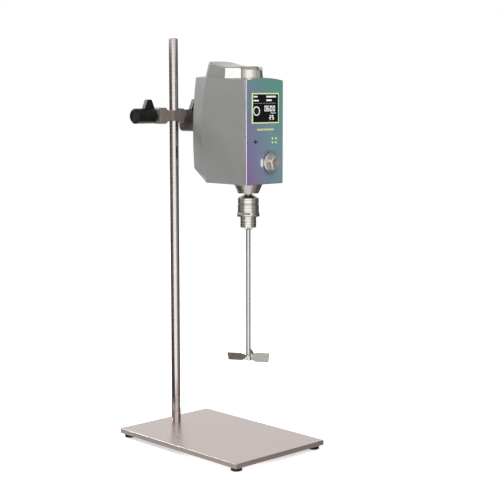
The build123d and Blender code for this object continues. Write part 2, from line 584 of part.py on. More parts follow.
def display_bezel():
    """Frame round the window, standing on the film."""
    face = FRONT_Y - FILM_T
    frame = display_block(DISPLAY_W, DISPLAY_H, face - BEZEL_T, FRONT_Y + FRONT_T)
    frame = chamfer(frame.faces().sort_by(Axis.Y)[0].edges(), BEZEL_T / 2)
    opening = (DISPLAY_W - 2 * BEZEL_W, DISPLAY_H - 2 * BEZEL_W)
    frame -= display_block(*opening, face - BEZEL_T - THROUGH, FRONT_Y + FRONT_T + THROUGH)
    ledge = (opening[0] + 2.0, opening[1] + 2.0)
    return frame - display_block(*ledge, FRONT_Y, FRONT_Y + FRONT_T + THROUGH)


def display_window():
    size = (DISPLAY_W - 2 * BEZEL_W + 2.0 - 2 * DRAFT_GAP, DISPLAY_H - 2 * BEZEL_W + 2.0 - 2 * DRAFT_GAP)
    return display_block(*size, FRONT_Y, FRONT_Y + WINDOW_T)


def display_module():
    """Screen behind the window: the glass in the bezel and a wider carrier behind the plate."""
    size = (DISPLAY_W - 2 * BEZEL_W + 2.0 - 2 * DRAFT_GAP, DISPLAY_H - 2 * BEZEL_W + 2.0 - 2 * DRAFT_GAP)
    glass = display_block(*size, FRONT_Y + WINDOW_T + SCREEN_GAP, SHELL_Y + THROUGH)
    wide = (DISPLAY_W + 2 * MODULE_LIP, DISPLAY_H + 2 * MODULE_LIP)
    return glass + display_block(*wide, SHELL_Y, SHELL_Y + MODULE_T)


def indicator_lamps():
    tip = FRONT_Y - FILM_T - LED_PROUD
    lamps = []
    for x, z in led_spots():
        lens = rod_y(LED_R, tip, SHELL_Y + LED_L, x, z)
        lamps.append(chamfer(lens.edges().filter_by(GeomType.CIRCLE).sort_by(Axis.Y)[0], LED_PROUD))
    return lamps


def control_board():
    """Upright board behind the display on four posts, with its larger components."""
    y = SHELL_Y + MODULE_T + BOARD_GAP
    cz = HEAD_Z + BOARD_Z
    board = block(HEAD_X - BOARD_W / 2, HEAD_X + BOARD_W / 2, y, y + BOARD_T, cz - BOARD_H / 2, cz + BOARD_H / 2)
    for i in range(3):
        x = HEAD_X - BOARD_W / 4 + i * BOARD_W / 4
        board += Pos(x, y + BOARD_T + CHIP[1] / 2, cz + BOARD_H / 4) * Box(*CHIP)
        board += rod_y(CAPACITOR_R, y + BOARD_T, y + BOARD_T + CAPACITOR_L, x, cz - BOARD_H / 3)
    return board


def board_posts():
    """Four hexagonal posts from the display carrier to the board."""
    y0 = SHELL_Y + MODULE_T
    cz = HEAD_Z + DISPLAY_Z
    reach_x, reach_z = BOARD_W / 2 - 2 * BOARD_POST_R, DISPLAY_H / 2 - BOARD_POST_R
    posts = []
    for sx in (-1, 1):
        for sz in (-1, 1):
            post = rod_y(BOARD_POST_R, y0, y0 + BOARD_GAP, HEAD_X + sx * reach_x, cz + sz * reach_z)
            posts.append(post)
    return posts


# ---------------------------------------------------------------- control knob
def knob_ring():
    """Polished ring on the panel round the control knob."""
    y1 = FRONT_Y - FILM_T
    ring = rod_y(RING_R, y1 - RING_T, y1, HEAD_X + KNOB_X, HEAD_Z + KNOB_Z)
    ring = chamfer(ring.edges().filter_by(GeomType.CIRCLE).sort_by(Axis.Y)[0], RING_T * 0.6)
    return ring - rod_y(RING_BORE_R, y1 - RING_T - THROUGH, y1 + THROUGH, HEAD_X + KNOB_X, HEAD_Z + KNOB_Z)


def encoder_body():
    x, z = HEAD_X + KNOB_X, HEAD_Z + KNOB_Z
    half = ENCODER_W / 2
    case = block(x - half, x + half, SHELL_Y, SHELL_Y + ENCODER_T, z - half, z + half)
    case += rod_y(BUSHING_R, FRONT_Y - FILM_T - BUSHING_L / 2, SHELL_Y + THROUGH, x, z)
    return case - rod_y(STEM_R + RUN, FRONT_Y - BASE_T, SHELL_Y + ENCODER_T - THROUGH, x, z)


def encoder_stem():
    x, z = HEAD_X + KNOB_X, HEAD_Z + KNOB_Z
    return rod_y(STEM_R, KNOB_FACE_Y - STEM_SOCKET, SHELL_Y + ENCODER_T - THROUGH - PUSH_TRAVEL - GAP, x, z)


def control_knob():
    """Turned metal knob: skirt, tapered grip, bevelled dished face, blind bore and set-screw hole."""
    profile = [(0, 0), (KNOB_R, 0), (KNOB_R, KNOB_SKIRT - KNOB_SKIRT_EDGE), (KNOB_R - KNOB_SKIRT_EDGE, KNOB_SKIRT)]
    profile += [(KNOB_GRIP_R, KNOB_SKIRT), (KNOB_FACE_R, KNOB_L - KNOB_BEVEL)]
    profile += [(KNOB_FACE_R - KNOB_BEVEL, KNOB_L), (KNOB_FACE_R - 2 * KNOB_BEVEL, KNOB_L), (0, KNOB_L - KNOB_DISH)]
    knob = turned(profile)
    knob -= rod(STEM_R + RUN, STEM_SOCKET + GAP, (0, 0, 0))
    knob -= Pos(0, 0, STEM_SOCKET / 2) * Rot(90, 0, 0) * rod(KNOB_SCREW_R + RUN, KNOB_R + THROUGH, (0, 0, 0))
    knob -= rod(BUSHING_R + GAP, KNOB_RECESS, (0, 0, 0))
    return Pos(HEAD_X + KNOB_X, KNOB_FACE_Y, HEAD_Z + KNOB_Z) * Rot(90, 0, 0) * knob


def knob_set_screw():
    x, z = HEAD_X + KNOB_X, HEAD_Z + KNOB_Z
    y = KNOB_FACE_Y - STEM_SOCKET / 2
    screw = rod(KNOB_SCREW_R, KNOB_SCREW_L, (x, y, z - STEM_R - RUN - KNOB_SCREW_L))
    return screw - hexagon(KNOB_SCREW_R, THROUGH, (x, y, z - STEM_R - RUN - KNOB_SCREW_L))


# ---------------------------------------------------------------- top cap
def side_half(rise, grow):
    """Half width of the cap at a height above its foot."""
    return CAP_R + grow - rise * tan(radians(CAP_SIDE_DRAFT))


def cap_outline(rise, grow):
    """Plan of the cap about the shaft axis: round nose, straight sides, rounded rear corners."""
    half = side_half(rise, grow)
    rear = CAP_REAR + grow - rise * tan(radians(CAP_REAR_DRAFT))
    with BuildSketch() as sketch:
        with BuildLine():
            ThreePointArc((-half, CAP_NOSE_C), (0, CAP_NOSE_C - half), (half, CAP_NOSE_C))
            Line((half, CAP_NOSE_C), (half, rear))
            Line((half, rear), (-half, rear))
            Line((-half, rear), (-half, CAP_NOSE_C))
        make_face()
        fillet(sketch.vertices().sort_by(Axis.Y)[-2:], CAP_CORNER_R)
    return Pos(0, 0, rise) * sketch.sketch


def sweep_tool(grow):
    """Waisted drum lying across the cap that hollows its top from front to rear."""
    reach = HEAD_W / 2
    middle = SWEEP_R - grow
    edge = middle + CAP_CROWN * (reach / CAP_R) ** 2
    arc = ThreePointArc((-reach, edge, 0), (0, middle, 0), (reach, edge, 0))
    rest = Polyline((reach, edge, 0), (reach, 0, 0), (-reach, 0, 0), (-reach, edge, 0))
    drum = revolve(make_face([arc, rest]), Axis.X)
    return Pos(HEAD_X, SHAFT_Y + CAP_LOW_Y, CAP_TOP + SWEEP_R) * drum


def bevel_tool(grow):
    """Cutter that leaves a cone round the top edge of the nose."""
    low = CAP_TOP - BEVEL_H
    foot_r = side_half(low - CAP_FOOT, grow)
    front = SHAFT_Y + CAP_NOSE_C - CAP_R - HEAD_W / 2
    zone = block(HEAD_X - HEAD_W, HEAD_X + HEAD_W, front, SHAFT_Y + NOSE_JOINT, low, low + 2 * BEVEL_H)
    cone = turned([(0, low), (foot_r, low), (foot_r - 2 * BEVEL_W, low + 2 * BEVEL_H), (0, low + 2 * BEVEL_H)])
    return zone - Pos(HEAD_X, SHAFT_Y + CAP_NOSE_C, 0) * cone


def cap_blank(grow):
    """Cap form with its swept top, from below the roof."""
    form = loft([cap_outline(0, grow), cap_outline(CAP_BLANK_H, grow)], ruled=True)
    return Pos(HEAD_X, SHAFT_Y, CAP_FOOT) * form - sweep_tool(grow)


def cap_form(grow):
    return cap_blank(grow) - bevel_tool(grow) - roof_tool(0)


def top_cap():
    blank = cap_blank(0)
    rim = blank.faces().sort_by(Axis.Z)[-1].edges()
    cap = fillet(rim, CAP_EDGE_R) - bevel_tool(0) - roof_tool(0)
    return (cap - cap_form(-CAP_WALL)).solids().sort_by(SortBy.VOLUME)[-1]


def front_zone(rear, low, high):
    """Box round the front of the cap, ending behind the shaft axis at rear."""
    front = SHAFT_Y + CAP_NOSE_C - CAP_R - HEAD_W / 2
    return block(HEAD_X - HEAD_W / 2, HEAD_X + HEAD_W / 2, front, SHAFT_Y + rear, low, high)


def cap_band():
    """Polished band along the front half of the cap, widened over the bevel of the nose."""
    low = HEAD_Z + HEAD_H + BAND_LOW
    zone = front_zone(BAND_REAR, low, low + BAND_H) + front_zone(NOSE_JOINT, low, CAP_TOP)
    ring = cap_form(BAND_T) & zone
    ring -= Pos(0, 0, LIP_H) * roof_tool(0)
    return (ring - cap_form(RUN)).solids().sort_by(SortBy.VOLUME)[-1]


def cap_lip():
    """Low polished flange at the foot of the cap's front half."""
    lip = (cap_form(LIP_T) & front_zone(BAND_REAR, CAP_FOOT, CAP_TOP)) - cap_form(RUN)
    crest = Pos(0, 0, LIP_H) * roof_tool(0)
    return (lip & crest).solids().sort_by(SortBy.VOLUME)[-1]


# ---------------------------------------------------------------- drive
def involute(angle):
    return tan(angle) - angle


def gear_face(teeth, thin):
    """Involute spur gear outline as a closed polygon, a tooth centred on +X."""
    pitch_r = MODULE * teeth / 2
    base_r = pitch_r * cos(radians(PRESSURE))
    tip_r, root_r = pitch_r + MODULE - 2 * RUN, pitch_r - 1.25 * MODULE
    half = pi / (2 * teeth) - thin / (2 * pitch_r)
    start_r = max(base_r, root_r)
    steps = 4
    flank = []
    for i in range(steps + 1):
        r = start_r + (tip_r - start_r) * i / steps
        flank.append((r, half + involute(radians(PRESSURE)) - involute(acos(base_r / r))))
    if root_r < start_r:
        flank.insert(0, (root_r, flank[0][1]))
    points = []
    for tooth in range(teeth):
        centre = 2 * pi * tooth / teeth
        points += [(r * cos(centre - a), r * sin(centre - a)) for r, a in flank]
        points += [(r * cos(centre + a), r * sin(centre + a)) for r, a in reversed(flank)]
    return make_face(Polyline(*points, close=True))


def spindle_gear():
    wheel = extrude(gear_face(GEAR_TEETH, BACKLASH), GEAR_W)
    wheel += rod(GEAR_HUB_R, GEAR_W + GEAR_HUB_L, (0, 0, 0))
    for hole in around(GEAR_HOLES, rod(GEAR_HOLE_R, GEAR_W + 2 * THROUGH, (GEAR_HOLE_PCR, 0, -THROUGH))):
        wheel -= hole
    wheel -= rod(SPINDLE_R + RUN, GEAR_W * 3, (0, 0, -THROUGH))
    return ON_SHAFT * Pos(0, 0, HEAD_Z + GEAR_Z) * Rot(0, 0, 90) * wheel


def motor_pinion():
    low = HEAD_Z + GEAR_Z - (PINION_W - GEAR_W) / 2
    wheel = extrude(gear_face(PINION_TEETH, BACKLASH), PINION_W)
    wheel -= rod(MOTOR_SHAFT_R + RUN, PINION_W + 2 * THROUGH, (0, 0, -THROUGH))
    return ON_MOTOR * Pos(0, 0, low) * Rot(0, 0, 270 + 180 / PINION_TEETH) * wheel


def gear_deck():
    """Plate that carries the motor and the spindle's upper bearing."""
    y0, y1 = SHAFT_Y - DECK_FRONT, SHAFT_Y + DECK_REAR
    deck = block(HEAD_X - DECK_W / 2, HEAD_X + DECK_W / 2, y0, y1, DECK_UNDER, DECK_UNDER + DECK_T)
    deck = chamfer(deck.edges().filter_by(Axis.Z).sort_by(Axis.Y)[-2:], (HEAD_W - REAR_W) / 2)
    deck -= rod(BEARING_R + RUN, DECK_T + THROUGH, (HEAD_X, SHAFT_Y, DECK_UNDER + BEARING_RECESS))
    deck -= rod(BEARING_R - DECK_SHOULDER, DECK_T, (HEAD_X, SHAFT_Y, DECK_UNDER - THROUGH))
    deck -= rod(MOTOR_SHAFT_R + GAP * 4, DECK_T + 2 * THROUGH, (HEAD_X, MOTOR_Y, DECK_UNDER - THROUGH))
    for x, y in post_spots():
        deck -= rod(POST_SCREW_R + RUN, DECK_T + 2 * THROUGH, (x, y, DECK_UNDER - THROUGH))
    for hole in motor_holes(MOTOR_SCREW_R + RUN, DECK_T + 2 * THROUGH, DECK_UNDER - THROUGH):
        deck -= hole
    return deck


def post_spots():
    return [(HEAD_X + side * x, SHAFT_Y + y) for x, y in zip(POST_X, POST_Y) for side in (-1, 1)]


def motor_holes(radius, length, z):
    hole = rod(radius, length, (MOTOR_SCREW_PCR, 0, z))
    return [ON_MOTOR * spot for spot in around(4, hole, 45)]


def deck_posts():
    floor = HEAD_Z + WALL
    post = rod(POST_R, DECK_UNDER - floor, (0, 0, floor))
    post -= rod(POST_SCREW_R + RUN, POST_SCREW_L, (0, 0, DECK_UNDER - POST_SCREW_L + THROUGH))
    return [Pos(x, y, 0) * post for x, y in post_spots()]


def deck_screws():
    screw = pan_screw(POST_SCREW_R, POST_SCREW_L + DECK_T - 2 * THROUGH, POST_SCREW_HEAD_R, POST_SCREW_HEAD_H)
    return [Pos(x, y, DECK_UNDER + DECK_T) * screw for x, y in post_spots()]


def motor_can():
    """Drawn steel can with a bearing neck at each end."""
    low = DECK_UNDER + DECK_T
    can = rod(MOTOR_R, MOTOR_H, (0, 0, low))
    can = chamfer(can.edges().filter_by(GeomType.CIRCLE).sort_by(Axis.Z)[-1], MOTOR_WALL)
    inner_h = MOTOR_H - 2 * MOTOR_WALL
    can -= rod(MOTOR_R - MOTOR_WALL, inner_h, (0, 0, low + MOTOR_WALL))
    for z in (low + MOTOR_WALL, low + MOTOR_H - MOTOR_WALL - MOTOR_NECK):
        can += rod(MOTOR_SHAFT_R + MOTOR_NECK_WALL, MOTOR_NECK, (0, 0, z))
    can -= rod(MOTOR_SHAFT_R + RUN, MOTOR_H - MOTOR_WALL / 2 + THROUGH, (0, 0, low - THROUGH))
    can = ON_MOTOR * can
    for hole in motor_holes(MOTOR_SCREW_R + RUN, MOTOR_WALL + 2 * THROUGH, low - THROUGH):
        can -= hole
    return can


def motor_rotor():
    low = DECK_UNDER + DECK_T
    foot = HEAD_Z + GEAR_Z - (PINION_W - GEAR_W) / 2
    top = low + MOTOR_H - MOTOR_WALL
    shaft = rod(MOTOR_SHAFT_R, top - foot, (0, 0, foot))
    core = rod(ROTOR_R, ROTOR_L, (0, 0, low + (MOTOR_H - ROTOR_L) / 2))
    return ON_MOTOR * (shaft + core)


def motor_screws():
    screw = Rot(180, 0, 0) * pan_screw(MOTOR_SCREW_R, DECK_T + MOTOR_WALL, MOTOR_SCREW_HEAD_R, MOTOR_SCREW_HEAD_H)
    placed = Pos(MOTOR_SCREW_PCR, 0, DECK_UNDER) * screw
    return [ON_MOTOR * spot for spot in around(4, placed, 45)]


def bearing(z):
    """Deep-groove bearing with its shields set back between the rings."""
    bore, rim, back = SPINDLE_R + RUN, BEARING_R, BEARING_RECESS
    inner, outer = SPINDLE_R + BEARING_RING, BEARING_R - BEARING_RING
    profile = [(bore, 0), (inner, 0), (inner, back), (outer, back), (outer, 0), (rim, 0)]
    profile += [(rim, BEARING_W), (outer, BEARING_W), (outer, BEARING_W - back)]
    profile += [(inner, BEARING_W - back), (inner, BEARING_W), (bore, BEARING_W)]
    return ON_SHAFT * Pos(0, 0, z) * turned(profile)


def spindle_collar():
    """Turned nose under the head that holds the lower bearing."""
    top, foot = HEAD_Z, COLLAR_Z
    profile = [(COLLAR_BORE_R, foot), (COLLAR_FOOT_R, foot), (COLLAR_FOOT_R, foot + 1.0)]
    profile += [(COLLAR_TOP_R, top - COLLAR_RIM), (COLLAR_TOP_R, top), (BEARING_R + RUN, top)]
    profile += [(BEARING_R + RUN, BEARING_Z), (COLLAR_BORE_R, BEARING_Z)]
    collar = turned(profile)
    for hole in around(4, rod(COLLAR_SCREW_R + RUN, COLLAR_SCREW_L, (COLLAR_SCREW_PCR, 0, top - COLLAR_SCREW_L + WALL)), 45):
        collar -= hole
    return ON_SHAFT * collar


def collar_screws():
    reach = COLLAR_SCREW_L - THROUGH
    screw = pan_screw(COLLAR_SCREW_R, reach, COLLAR_SCREW_HEAD_R, COLLAR_SCREW_HEAD_H)
    placed = Pos(COLLAR_SCREW_PCR, 0, HEAD_Z + WALL) * screw
    return [ON_SHAFT * spot for spot in around(4, placed, 45)]


def spindle():
    """Output spindle: upper journal, gear seat, lower journal, shoulder and chuck thread."""
    step = BEARING_Z - GAP
    top = DECK_UNDER + DECK_T
    foot = CHUCK_TOP - CHUCK_FLANGE_H
    profile = [(0, foot), (SPINDLE_R, foot), (SPINDLE_R, CHUCK_TOP), (NECK_R, CHUCK_TOP), (NECK_R, step)]
    profile += [(SPINDLE_R, step), (SPINDLE_R, top), (0, top)]
    return ON_SHAFT * turned(profile)


# ---------------------------------------------------------------- chuck
def jaw_tool(radius, length, lift):
    """Slanted round bar on the first jaw's axis, starting at the chuck's mouth."""
    bar = rod(radius, length, (0, 0, lift))
    return Pos(JAW_TIP_R, 0, MOUTH_Z) * Rot(0, JAW_TILT, 0) * bar


def chuck_body():
    """Steel body: flange above the sleeve, core inside it, nose below with key holes and jaw bores."""
    top, foot = CHUCK_TOP, CHUCK_TOP - CHUCK_FLANGE_H
    profile = [(0, MOUTH_Z), (NOSE_MOUTH_R, MOUTH_Z), (NOSE_R, NOSE_Z), (NOSE_R, foot)]
    profile += [(CHUCK_FLANGE_R, foot), (CHUCK_FLANGE_R, top - SHOULDER_H), (SHOULDER_R, top), (0, top)]
    body = turned(profile)
    body -= rod(SPINDLE_R + RUN, CHUCK_FLANGE_H + THROUGH, (0, 0, foot))
    body -= rod(CHUCK_BORE_R, foot - MOUTH_Z + 2 * THROUGH, (0, 0, MOUTH_Z - THROUGH))
    below = JAW_L / 2
    for bore in around(JAWS, jaw_tool(JAW_R + RUN, below + JAW_L + JAW_TRAVEL + GAP, -below)):
        body -= bore
    for hole in around(JAWS, rod_x(KEY_HOLE_R, NOSE_R - KEY_HOLE_DEPTH, NOSE_R + THROUGH, 0,
                                   SLEEVE_Z - KEY_HOLE_DROP), KEY_HOLE_TURN):
        body -= hole
    return ON_SHAFT * body


def chuck_sleeve():
    """Rotating sleeve: grip band, flared lower rim with key teeth, pocket over the jaws."""
    low, high = SLEEVE_Z, SLEEVE_TOP
    bore = NOSE_R + GAP
    profile = [(bore, low), (SLEEVE_RIM_R, low), (SLEEVE_RIM_R, low + SLEEVE_RIM_H)]
    profile += [(SLEEVE_R, low + SLEEVE_RIM_H + SLEEVE_FLARE), (SLEEVE_R, high - 1.0), (SLEEVE_R - 1.0, high)]
    profile += [(SLEEVE_POCKET_R, high), (SLEEVE_POCKET_R, low + SLEEVE_POCKET_LIP), (bore, low + SLEEVE_POCKET_LIP)]
    sleeve = turned(profile)
    reach = SLEEVE_RIM_R - NOSE_R + THROUGH
    notch = rod_x(SLEEVE_TOOTH_R, SLEEVE_POCKET_R, NOSE_R + reach, 0, low)
    for tooth in around(SLEEVE_TEETH, notch):
        sleeve -= tooth
    return ON_SHAFT * sleeve


def chuck_jaw(index):
    """One jaw: a slanted round bar with a flat that grips the shaft and a trimmed mouth end."""
    bar = jaw_tool(JAW_R, JAW_L, 0)
    grip = SHAFT_R + RUN
    bar -= block(-NOSE_R, grip, -NOSE_R, NOSE_R, MOUTH_Z - JAW_R, SLEEVE_TOP)
    bar -= block(-NOSE_R, NOSE_R, -NOSE_R, NOSE_R, MOUTH_Z - 2 * JAW_R, MOUTH_Z + GAP)
    return ON_SHAFT * Rot(0, 0, 360.0 * index / JAWS) * bar


def stirrer_shaft():
    return ON_SHAFT * rod(SHAFT_R, SHAFT_TOP_Z - SHAFT_FOOT_Z, (0, 0, SHAFT_FOOT_Z))


def propeller():
    """Hub with four pitched blades whose roots taper into the hub."""
    middle = SHAFT_FOOT_Z + PROP_HUB_H / 2 - 1.0
    hub = rod(PROP_HUB_R, PROP_HUB_H, (0, 0, middle - PROP_HUB_H / 2))
    hub = chamfer(hub.edges().filter_by(GeomType.CIRCLE), 1.0)
    root, chord = BLADE_ROOT_CHORD / 2, BLADE_CHORD / 2
    start = PROP_HUB_R - 2.0
    outline = Polyline((start, -root), (BLADE_SHOULDER, -chord), (BLADE_R, -chord), (BLADE_R, chord),
                       (BLADE_SHOULDER, chord), (start, root), close=True)
    blade = extrude(make_face(outline), BLADE_T / 2, both=True)
    blade = fillet(blade.edges().filter_by(Axis.Z).sort_by(Axis.X)[-2:], BLADE_CORNER_R)
    blade = Pos(0, 0, middle) * Rot(BLADE_PITCH, 0, 0) * blade
    for copy in around(BLADES, blade, BLADE_TURN):
        hub += copy
    hub -= rod(SHAFT_R + RUN, PROP_HUB_H - 1.0, (0, 0, SHAFT_FOOT_Z))
    hub -= grub_tool(GRUB_R + RUN, PROP_HUB_R)
    return ON_SHAFT * hub


def grub_tool(radius, outer):
    """Radial bar for the propeller's set screw, between two blades."""
    z = SHAFT_FOOT_Z + PROP_HUB_H / 2 + 2.0
    return Rot(0, 0, BLADE_TURN + 180 / BLADES) * rod_x(radius, SHAFT_R + RUN, outer, 0, z)


def propeller_set_screw():
    return ON_SHAFT * grub_tool(GRUB_R, SHAFT_R + RUN + GRUB_L)


# ---------------------------------------------------------------- rear electrics
def power_inlet():
    """Appliance inlet: flanged body, socket cavity and three flat pins."""
    x, z, y = HEAD_X + INLET_X, HEAD_Z + REAR_Z, SHAFT_Y + SEAT_FACE
    half_w, half_h = INLET_W / 2, INLET_H / 2
    body = block(x - half_w, x + half_w, y - INLET_DEPTH, y, z - half_h, z + half_h)
    lip = block(x - half_w - INLET_LIP, x + half_w + INLET_LIP, y, y + INLET_LIP_T,
                z - half_h - INLET_LIP, z + half_h + INLET_LIP)
    body += fillet(lip.edges().filter_by(Axis.Y), INLET_LIP)
    mouth = y + INLET_LIP_T
    cavity = block(x - INLET_CAVITY_W / 2, x + INLET_CAVITY_W / 2, mouth - INLET_CAVITY_D, mouth + THROUGH,
                   z - INLET_CAVITY_H / 2, z + INLET_CAVITY_H / 2)
    body -= chamfer(cavity.edges().filter_by(Axis.Y).sort_by(Axis.Z)[-2:], INLET_CAVITY_H / 4)
    floor = mouth - INLET_CAVITY_D
    for i in (-1, 0, 1):
        pz = z + (PIN_RISE if i == 0 else -PIN_RISE)
        px = x + i * PIN_PITCH
        body += block(px - PIN_W / 2, px + PIN_W / 2, floor - THROUGH, floor + PIN_L, pz - PIN_H / 2, pz + PIN_H / 2)
    return body


def switch_frame():
    """Frame of the power switch with an open well for the rocker."""
    x, z, y = HEAD_X + SWITCH_X, HEAD_Z + REAR_Z, SHAFT_Y + SEAT_FACE
    half_w, half_h = SWITCH_W / 2, SWITCH_H / 2
    frame = block(x - half_w, x + half_w, y - SWITCH_DEPTH, y, z - half_h, z + half_h)
    frame += block(x - half_w - SWITCH_LIP, x + half_w + SWITCH_LIP, y, y + SWITCH_LIP_T,
                   z - half_h - SWITCH_LIP, z + half_h + SWITCH_LIP)
    well_w, well_h = half_w - SWITCH_WALL, half_h - SWITCH_WALL
    frame -= block(x - well_w, x + well_w, y - SWITCH_DEPTH + 2 * SWITCH_WALL, y + SWITCH_LIP_T + THROUGH,
                   z - well_h, z + well_h)
    pin = rod_x(ROCKER_PIN_R + RUN, x - half_w + SWITCH_WALL / 2, x + half_w - SWITCH_WALL / 2,
                y - ROCKER_DEPTH, z)
    return frame - pin


def power_rocker():
    """Rocker on its pin, stored with the lower half pressed in."""
    x, z, y = HEAD_X + SWITCH_X, HEAD_Z + REAR_Z, SHAFT_Y + SEAT_FACE
    half_w = SWITCH_W / 2 - SWITCH_WALL - DRAFT_GAP
    reach = SWITCH_H / 2 - SWITCH_WALL - GAP - ROCKER_R * sin(radians(ROCKER_TILT))
    width = block(-half_w, half_w, -1.5, ROCKER_R, -reach, reach)
    pad = width - rod_x(ROCKER_DISH_R, -half_w - THROUGH, half_w + THROUGH, ROCKER_DISH_LIFT, 0)
    pin_half = SWITCH_W / 2 - SWITCH_WALL / 2 - RUN
    rocker = pad + rod_x(ROCKER_PIN_R, -pin_half, pin_half, 0, 0)
    return Pos(x, y - ROCKER_DEPTH, z) * Rot(ROCKER_TILT, 0, 0) * rocker


PIECES = {
    "base_plate": base_plate, "base_feet": base_feet, "foot_screws": foot_screws, "stand_rod": stand_rod,
    "rod_bolt": rod_bolt, "rod_washer": rod_washer, "rod_bush": rod_bush, "boss_head": boss_head,
    "pressure_pad": pressure_pad, "rod_clamp_screw": rod_clamp_screw, "rod_clamp_knob": rod_clamp_knob,
    "tilt_washer": tilt_washer, "tilt_lock_screw": tilt_lock_screw, "tilt_lock_knob": tilt_lock_knob,
    "head_arm": head_arm, "arm_screws": arm_screws, "housing_shell": housing_shell,
    "front_plate": front_plate, "panel_film": panel_film, "display_bezel": display_bezel,
    "display_window": display_window, "display_module": display_module,
    "indicator_lamps": indicator_lamps, "control_board": control_board, "board_posts": board_posts,
    "knob_ring": knob_ring, "encoder_body": encoder_body, "encoder_stem": encoder_stem,
    "control_knob": control_knob, "knob_set_screw": knob_set_screw, "top_cap": top_cap,
    "cap_band": cap_band, "cap_lip": cap_lip, "spindle_gear": spindle_gear,
    "motor_pinion": motor_pinion, "gear_deck": gear_deck, "deck_posts": deck_posts,
    "deck_screws": deck_screws, "motor_can": motor_can, "motor_rotor": motor_rotor,
    "motor_screws": motor_screws, "spindle_collar": spindle_collar, "collar_screws": collar_screws,
    "spindle": spindle, "chuck_body": chuck_body, "chuck_sleeve": chuck_sleeve,
    "stirrer_shaft": stirrer_shaft, "propeller": propeller, "propeller_set_screw": propeller_set_screw,
    "power_inlet": power_inlet, "switch_frame": switch_frame, "power_rocker": power_rocker,
}


def build():
    os.makedirs("parts", exist_ok=True)
    for name, make in PIECES.items():
        save(name, make())
    save("lower_bearing", bearing(BEARING_Z))
    save("upper_bearing", bearing(DECK_UNDER + BEARING_RECESS))
    for index in range(JAWS):
        save(f"chuck_jaw_{index + 1}", chuck_jaw(index))


build()
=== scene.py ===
# %% [markdown]
# An overhead stirrer stands on a flat steel plate: a rod, a boss head with two black wing knobs, a grey motor
# head with a coloured panel, a keyed chuck and a bladed shaft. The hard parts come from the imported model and
# keep their shape here. This file gives every surface its finish, adds what is printed or lit on the panel,
# and sets up the floor, the light and the camera.

# %% Load the fixed frame
import json
from math import cos, pi, radians, sin

import bmesh
import bpy
from mathutils import Matrix, Vector


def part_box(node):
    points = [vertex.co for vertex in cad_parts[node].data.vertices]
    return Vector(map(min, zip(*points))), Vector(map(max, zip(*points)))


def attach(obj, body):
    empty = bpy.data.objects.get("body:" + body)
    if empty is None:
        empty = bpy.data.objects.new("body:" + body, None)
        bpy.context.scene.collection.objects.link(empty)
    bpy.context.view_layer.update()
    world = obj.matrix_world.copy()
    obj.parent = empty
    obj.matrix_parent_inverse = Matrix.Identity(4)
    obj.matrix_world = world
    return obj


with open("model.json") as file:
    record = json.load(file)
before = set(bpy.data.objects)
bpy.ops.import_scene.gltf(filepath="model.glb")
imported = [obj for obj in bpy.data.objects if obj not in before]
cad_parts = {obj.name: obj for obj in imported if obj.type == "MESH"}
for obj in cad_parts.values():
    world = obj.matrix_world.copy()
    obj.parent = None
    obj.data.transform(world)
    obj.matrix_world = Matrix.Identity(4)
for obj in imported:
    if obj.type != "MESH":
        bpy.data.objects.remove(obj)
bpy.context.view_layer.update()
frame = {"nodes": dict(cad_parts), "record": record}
MM = 0.001

# %% [markdown]
# Colours are chosen as everyday sRGB hex values, because that is how a paint or a print is matched by eye.
# The shader works in linear light, so one function turns a hex value into linear numbers. A second small
# function adds a shader node with its settings, its fixed inputs and its links in one call, which keeps each
# material short enough to read.

# %% Colour and node helpers
def linear(hex_value):
    channels = [int(hex_value[i:i + 2], 16) / 255 for i in (1, 3, 5)]
    straight = [c / 12.92 if c <= 0.04045 else ((c + 0.055) / 1.055) ** 2.4 for c in channels]
    return (*straight, 1.0)


def add_node(tree, kind, settings=None, inputs=None, links=None):
    node = tree.nodes.new(kind)
    for name, value in (settings or {}).items():
        setattr(node, name, value)
    for name, value in (inputs or {}).items():
        node.inputs[name].default_value = value
    for name, socket in (links or {}).items():
        tree.links.new(socket, node.inputs[name])
    return node


def new_material(name, colour, metallic, roughness, **extra):
    """A material with its Principled shader and the Object coordinates that its patterns read."""
    material = bpy.data.materials.new(name)
    material.use_nodes = True
    tree = material.node_tree
    tree.nodes.clear()
    shader = add_node(tree, "ShaderNodeBsdfPrincipled", inputs={
        "Base Color": linear(colour), "Metallic": metallic, "Roughness": roughness, **extra})
    add_node(tree, "ShaderNodeOutputMaterial", links={"Surface": shader.outputs["BSDF"]})
    place = add_node(tree, "ShaderNodeTexCoord").outputs["Object"]
    return material, tree, shader, place


print("white is", linear("#FFFFFF")[:3])

# %% [markdown]
# Most finishes share two habits: the colour wanders slightly between two close shades, and the roughness
# wanders with it, because no real surface is polished or painted quite evenly. One helper lays a noise over
# both. A second helper turns a fine pattern into bump, given in real millimetres. Stretching the coordinates
# along one axis turns round grains into the straight lines of brushing or turning.

# %% Helpers for uneven colour and fine relief
def stretched(tree, place, scale):
    mapping = add_node(tree, "ShaderNodeMapping", inputs={"Scale": scale}, links={"Vector": place})
    return mapping.outputs["Vector"]


